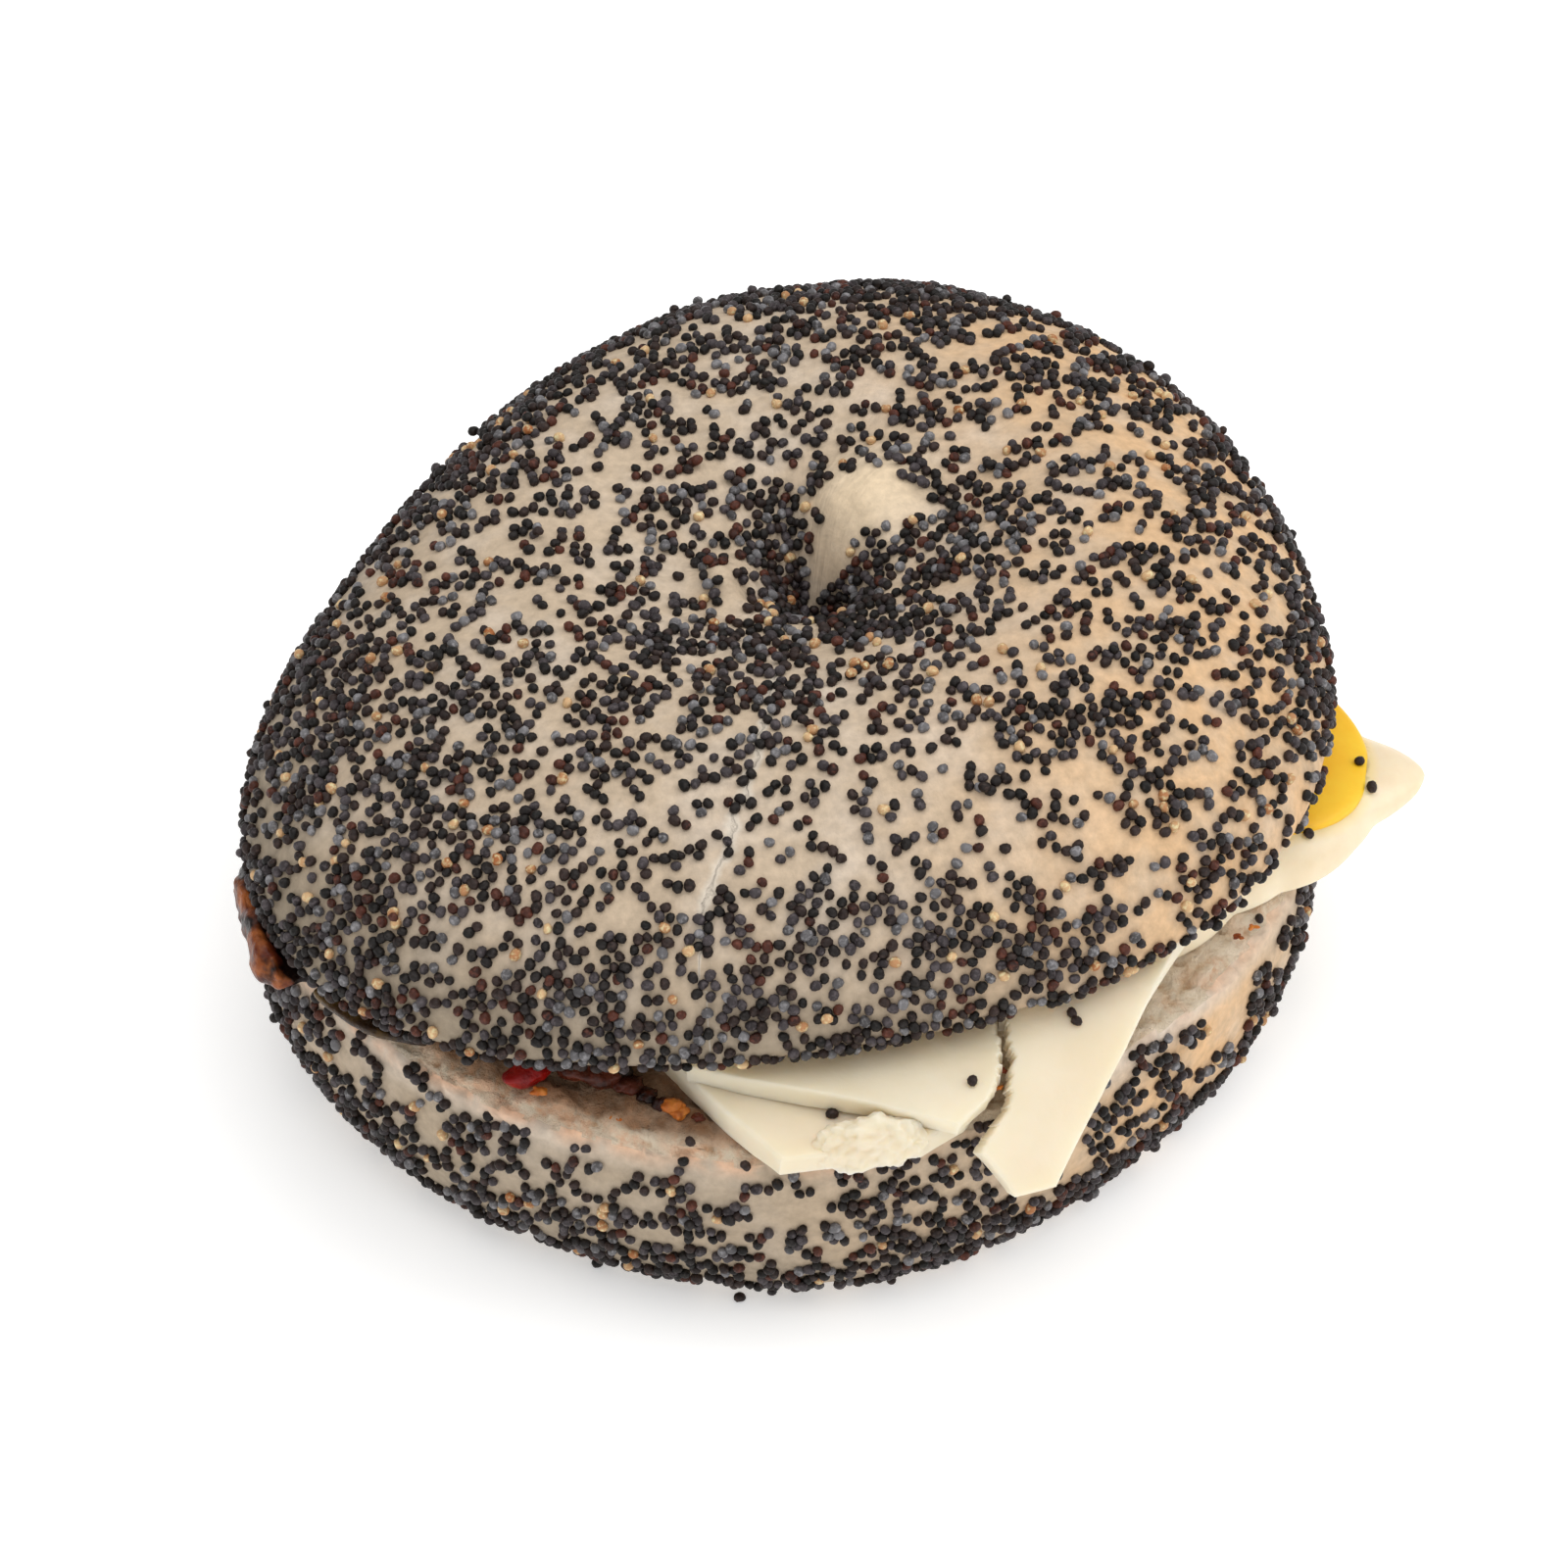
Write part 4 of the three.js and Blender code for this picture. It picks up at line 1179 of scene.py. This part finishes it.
# %% Egg
EGG_MIDDLE = (39.0, -4.0)
EGG_FLOOR = 22.3
EGG_THICKNESS = 5.2
EGG_EDGE = 1.5
EGG_DROP = {"from": 40, "slope": 0.07, "steeper_from": 50, "steeper": 0.14}
EGG_OUTLINE = [
    (59.6, 1.3), (58.6, 2.9), (56.4, 4.5), (54.2, 5.2), (52, 10), (46, 15), (37, 16), (28, 12), (22, 4),
    (20, -6), (22.5, -16), (28.5, -21.5), (34.6, -23), (37.4, -21.1), (40.8, -17), (45.3, -14.1),
    (48.6, -12.7), (52.3, -8.7), (54.3, -5.4), (56.4, -3.7), (58.6, -1.2),
]
YOLK_MIDDLE = (42.5, 0.3)
YOLK_RADIUS = 11.3
YOLK_THICKNESS = 4.2


def egg_face(x):
    """The height of the egg's upper face."""
    drop = np.maximum(0, x - EGG_DROP["from"]) * EGG_DROP["slope"]
    more = np.maximum(0, x - EGG_DROP["steeper_from"]) * EGG_DROP["steeper"]
    return EGG_FLOOR + EGG_THICKNESS - drop - more


def outline_reach(angle):
    """The distance from the egg's middle to its outline at each angle."""
    corners = np.array(EGG_OUTLINE) - EGG_MIDDLE
    at = np.arctan2(corners[:, 1], corners[:, 0])
    order = np.argsort(at)
    at, reach = at[order], np.hypot(*corners.T)[order]
    at = np.concatenate([at - 2 * math.pi, at, at + 2 * math.pi])
    fine = np.linspace(-math.pi, math.pi, 721)
    fine_reach = np.interp(fine, at, np.tile(reach, 3))
    kernel = np.hanning(13) / np.hanning(13).sum()
    fine_reach = np.convolve(np.pad(fine_reach, 6, mode="wrap"), kernel, mode="valid")
    return np.interp(angle, fine, fine_reach)


def egg_white_piece():
    deselect_all()
    bpy.ops.mesh.primitive_uv_sphere_add(segments=180, ring_count=60, radius=MM)
    piece = bpy.context.object
    piece.name = "fried_white"
    ball = points_of(piece)
    angle = np.arctan2(ball[:, 1], ball[:, 0])
    share = np.clip(np.hypot(ball[:, 0], ball[:, 1]), 0, 1) ** 0.62
    reach = outline_reach(angle)
    x = EGG_MIDDLE[0] + share * reach * np.cos(angle)
    y = EGG_MIDDLE[1] + share * reach * np.sin(angle)
    soft = np.sqrt(np.maximum(0, 1 - share ** 7))
    edge = EGG_FLOOR + EGG_EDGE / 2
    top = edge + (egg_face(x) - edge) * soft
    bottom = edge - EGG_EDGE / 2 * soft
    z = np.where(ball[:, 2] > 0, top, bottom)
    plan = np.stack([x, y, x * 0], 1)
    lumps = 0.25 * rough(plan, 5, 21) + 0.1 * rough(plan, 1.8, 22)
    set_points(piece, np.stack([x, y, z + lumps * (ball[:, 2] > 0) * soft], 1))
    use_only(piece)
    bpy.ops.object.shade_smooth()
    return piece


def yolk_piece(name, grow, rise):
    """The yolk, or with some growth the cutter for the hollow it sits in."""
    radius, depth = YOLK_RADIUS + grow, YOLK_THICKNESS + grow
    profile = [(0, -depth), (radius * 0.6, -depth), (radius * 0.9, -depth * 0.7), (radius, -depth * 0.25)]
    profile += [(radius, rise - 0.5), (radius - 0.5, rise), (radius * 0.5, rise), (0, rise)]
    piece = lathe(name, profile, 96)
    points = points_of(piece)
    points[:, 0] += YOLK_MIDDLE[0]
    points[:, 1] += YOLK_MIDDLE[1]
    points[:, 2] += egg_face(points[:, 0])
    set_points(piece, points)
    return piece


def egg_materials():
    white, tree, shader = new_material("egg_white", Roughness=0.32, Subsurface_Weight=0.4)
    shader.inputs["Subsurface Radius"].default_value = (1.0, 0.8, 0.5)
    shader.inputs["Subsurface Scale"].default_value = 2.0 * MM
    milky = remap(tree, clouds(tree, 4, detail=4), 0.35, 0.7)
    tone = blend(tree, milky, (0.85, 0.70, 0.48), (0.91, 0.79, 0.58))
    ring = node(tree, "VectorMath", {0: place_in(tree, YOLK_RADIUS, (*YOLK_MIDDLE, EGG_FLOOR), (1, 1, 9))},
                operation="LENGTH").outputs["Value"]
    tone = blend(tree, remap(tree, ring, 1.12, 0.98, 0, 0.8), tone, (0.95, 0.66, 0.18))
    tree.links.new(tone, shader.inputs["Base Color"])
    bump(tree, shader, clouds(tree, 2.2, detail=4), 0.2, 0.5)
    yolk, tree, shader = new_material("egg_yolk", Roughness=0.5, Subsurface_Weight=0.2)
    shader.inputs["Subsurface Radius"].default_value = (1.0, 0.5, 0.1)
    shader.inputs["Subsurface Scale"].default_value = 1.0 * MM
    golden = remap(tree, clouds(tree, 4, detail=4), 0.35, 0.7)
    tone = blend(tree, golden, (0.98, 0.54, 0.012), (1.0, 0.62, 0.025))
    tree.links.new(tone, shader.inputs["Base Color"])
    bump(tree, shader, clouds(tree, 0.8, detail=3), 0.06, 0.5)
    return white, yolk


white_piece = egg_white_piece()
cutter = yolk_piece("yolk_cutter", 0.02, 4)
add_modifier(white_piece, "BOOLEAN", object=cutter, operation="DIFFERENCE", solver="EXACT")
bpy.data.objects.remove(cutter)
yolk = yolk_piece("fried_yolk", 0.35, 0.2)
add_modifier(yolk, "SUBSURF", levels=2, render_levels=2)
WHITE, YOLK = egg_materials()
for piece, material, solid in ((white_piece, WHITE, "egg_white"), (yolk, YOLK, "egg_yolk")):
    piece.data.materials.clear()
    piece.data.materials.append(material)
    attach(piece, ROOT)
    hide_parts(solid)
print("egg:", len(white_piece.data.polygons), "faces in the white")

# %% [markdown]
# ## Roasted vegetables
# A dried tomato sticks out on the left, a strip of pepper lies in the gap beside it, and a red and a dark
# lump shine further along. Each starts as a copy of its solid, merged and cut finer. Noise then gives it
# the shrivelled skin, where a sculptor would pinch and crease it by hand.

# %% Vegetables


def shrivelled(node_name, cuts, relief, seed, shift):
    """A finer, wrinkled copy of a solid piece."""
    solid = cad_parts[node_name]
    deselect_all()
    piece = bpy.data.objects.new("skin_" + node_name, solid.data.copy())
    bpy.context.scene.collection.objects.link(piece)
    piece.matrix_world = solid.matrix_world.copy()
    piece.data.materials.clear()
    use_only(piece)
    bpy.ops.object.transform_apply(location=True, rotation=True, scale=True)
    bpy.ops.object.mode_set(mode="EDIT")
    bpy.ops.mesh.select_all(action="SELECT")
    bpy.ops.mesh.remove_doubles(threshold=0.02 * MM)
    bpy.ops.mesh.subdivide(number_cuts=cuts, smoothness=0.6)
    bpy.ops.mesh.normals_make_consistent(inside=False)
    bpy.ops.object.mode_set(mode="OBJECT")
    add_modifier(piece, "SMOOTH", factor=0.5, iterations=4)
    points = points_of(piece)
    normals = np.array([vertex.normal for vertex in piece.data.vertices])
    height = sum(depth * rough(points, size, seed + i) for i, (size, depth) in enumerate(relief))
    set_points(piece, points + normals * height[:, None] + np.array(shift))
    bpy.ops.object.shade_smooth()
    out = np.hypot(points[:, 0], points[:, 1])
    # How far inside the sandwich each point lies; the roast material darkens these parts as painted shade.
    paint(piece, "inner", smooth((out.max() - 1.2 - out) / 2.0))
    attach(piece, ROOT)
    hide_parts(node_name)
    return piece


def roast_material(name, flesh, char, tip, roughness, char_from=0.45):
    material, tree, shader = new_material(name, Roughness=roughness, Subsurface_Weight=0.1)
    shader.inputs["Subsurface Radius"].default_value = (1.0, 0.3, 0.1)
    shader.inputs["Subsurface Scale"].default_value = 0.8 * MM
    shader.inputs["Specular IOR Level"].default_value = 0.22
    mottled = remap(tree, clouds(tree, 2.2, detail=4), 0.42, 0.66)
    tone = blend(tree, mottled, flesh, tip)
    # Painted shade: parts inside the sandwich, under the crown, lean to the char colour, on top of real
    # charred patches.
    inner_painted_shade = maths(tree, "MULTIPLY", painted(tree, "inner"), 0.3)
    char_and_inner_shade = maths(tree, "ADD", clouds(tree, 3.0, detail=3), inner_painted_shade)
    tone = blend(tree, remap(tree, char_and_inner_shade, char_from - 0.07, char_from + 0.07), tone, char)
    tree.links.new(tone, shader.inputs["Base Color"])
    bump(tree, shader, clouds(tree, 0.5, detail=4), 0.2, 0.7)
    return material


VEGETABLES = {
    "dried_tomato": {
        "cuts": 5, "relief": [(3.0, 0.55), (1.2, 0.3), (0.5, 0.12)], "slot": "tomato",
        "look": {"flesh": (0.10, 0.016, 0.005), "char": (0.010, 0.004, 0.003), "tip": (0.40, 0.12, 0.03),
                 "roughness": 0.3, "char_from": 0.56},
    },
    "pepper_strip": {
        "cuts": 4, "relief": [(2.0, 0.15), (0.8, 0.08)], "slot": "pepper", "shift": (0.8, 0.9, -0.2),
        "look": {"flesh": (0.045, 0.020, 0.005), "char": (0.015, 0.006, 0.003), "tip": (0.13, 0.075, 0.018),
                 "roughness": 0.25, "char_from": 0.62},
    },
    "red_pepper": {
        "cuts": 4, "relief": [(1.5, 0.3), (0.6, 0.12)], "slot": "red_pepper",
        "look": {"flesh": (0.17, 0.003, 0.003), "char": (0.04, 0.002, 0.002), "tip": (0.30, 0.006, 0.004),
                 "roughness": 0.28, "char_from": 0.80},
    },
    "dark_tomato": {
        "cuts": 4, "relief": [(1.8, 0.5), (0.7, 0.25)], "slot": "tomato",
        "look": {"flesh": (0.030, 0.006, 0.003), "char": (0.008, 0.003, 0.002), "tip": (0.09, 0.018, 0.008),
                 "roughness": 0.25, "char_from": 0.60},
    },
}
for seed, (node_name, vegetable) in enumerate(VEGETABLES.items()):
    shift = vegetable.get("shift", (0, 0, 0))
    piece = shrivelled(node_name, vegetable["cuts"], vegetable["relief"], 60 + 5 * seed, shift)
    piece.data.materials.append(roast_material("roast_" + node_name, **vegetable["look"]))
    print(piece.name, len(piece.data.polygons), "faces")

# %% [markdown]
# ## Crumbs and strays
# Bits have fallen out of the filling: dark roasted shreds under the crown's rim, orange flecks on the cut
# edge, and single seeds on cheese, egg and floor. The bits are pressed balls with noise, joined to one
# mesh for each kind. The strays use the same seed as the crust.

# %% Bits and strays
DARK_BITS = {
    "places": [(-17.2, -36.6, 23.6), (-15.0, -37.4, 23.4), (-13.4, -38.4, 23.3), (-11.9, -39.2, 22.9),
               (-19.0, -36.0, 23.8), (-10.6, -40.3, 22.8), (-24.8, -34.4, 23.4), (-7.3, -41.9, 22.9)],
    "sizes": [1.3, 1.5, 1.2, 0.9, 1.0, 0.8, 0.9, 0.5],
}
ORANGE_BITS = {
    "places": [(-9.6, -40.6, 22.9), (-9.0, -41.2, 22.7), (-21.4, -38.8, 22.9), (41.3, -19.3, 22.5),
               (42.6, -17.9, 22.4), (19.2, -39.6, 26.4), (19.0, -41.0, 25.7), (-14.6, -41.6, 22.4)],
    "sizes": [1.0, 0.7, 0.6, 0.3, 0.35, 0.45, 0.35, 0.4],
}
STRAY_SEEDS = {
    "slice_right": [(25.4, -35.7, 29.5), (25.8, -36.4, 29.2)],
    "slice_middle": [(16.6, -42.7, 28.3)],
    "slice_left": [(4.4, -44.1, 25.4), (-4.4, -39.8, 25.3)],
    "fried_yolk": [(53.0, -0.5, 26.2)],
    "fried_white": [(54.1, -3.3, 25.9), (47.9, -10.4, 27.0)],
    "base": [
        (-7.9, -44.1, 22), (-3.2, -46.2, 21.5), (43.0, -16.5, 22), (18.2, -42.1, 22), (17.6, -43.0, 22),
        (18.9, -42.4, 22), (18.3, -43.2, 22),
    ],
}
FALLEN_SEED = (-3.8, -43.1, 0.15)


def bits(name, places, sizes, seed):
    """Small lumps of filling as one mesh."""
    deselect_all()
    made = []
    for place, size in zip(places, sizes):
        bpy.ops.mesh.primitive_ico_sphere_add(subdivisions=4, radius=size * MM)
        bit = bpy.context.object
        points = points_of(bit) * np.array([1.15, 0.85, 0.6])
        centre = np.array(place)
        knobs = 0.35 * rough(points + centre, 0.9 * size, seed)
        knobs += 0.15 * rough(points + centre, 0.35, seed + 1)
        set_points(bit, points * (1 + knobs / size)[:, None] + centre)
        made.append(bit)
    use_only(made[0])
    for bit in made:
        bit.select_set(True)
    bpy.ops.object.join()
    bpy.ops.object.shade_smooth()
    piece = bpy.context.object
    piece.name = name
    paint(piece, "inner", np.zeros(len(piece.data.vertices)))
    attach(piece, ROOT)
    return piece


dark_bits = bits("dark_bits", **DARK_BITS, seed=81)
dark_bits.data.materials.append(bpy.data.materials["roast_dark_tomato"])
orange_bits = bits("orange_bits", **ORANGE_BITS, seed=83)
orange_bits.data.materials.append(roast_material(
    "orange_shreds", (0.45, 0.12, 0.02), (0.16, 0.03, 0.01), (0.62, 0.22, 0.04), 0.4, 0.6))

strays = []
for piece_name, places in STRAY_SEEDS.items():
    ground = BVHTree.FromObject(bpy.data.objects[piece_name], bpy.context.evaluated_depsgraph_get())
    for near_place in places:
        place, normal, _, _ = ground.find_nearest(Vector(near_place) * MM)
        strays.append((place / MM, normal))
strays.append((Vector(FALLEN_SEED), Vector((0, 0, 1))))
stray_seeds = seed_mesh("stray_seeds", strays, np.random.default_rng(91))
stray_seeds.data.materials.append(SEED_MATERIALS["dark"])
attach(stray_seeds, ROOT)
print("bits and", len(strays), "stray seeds")
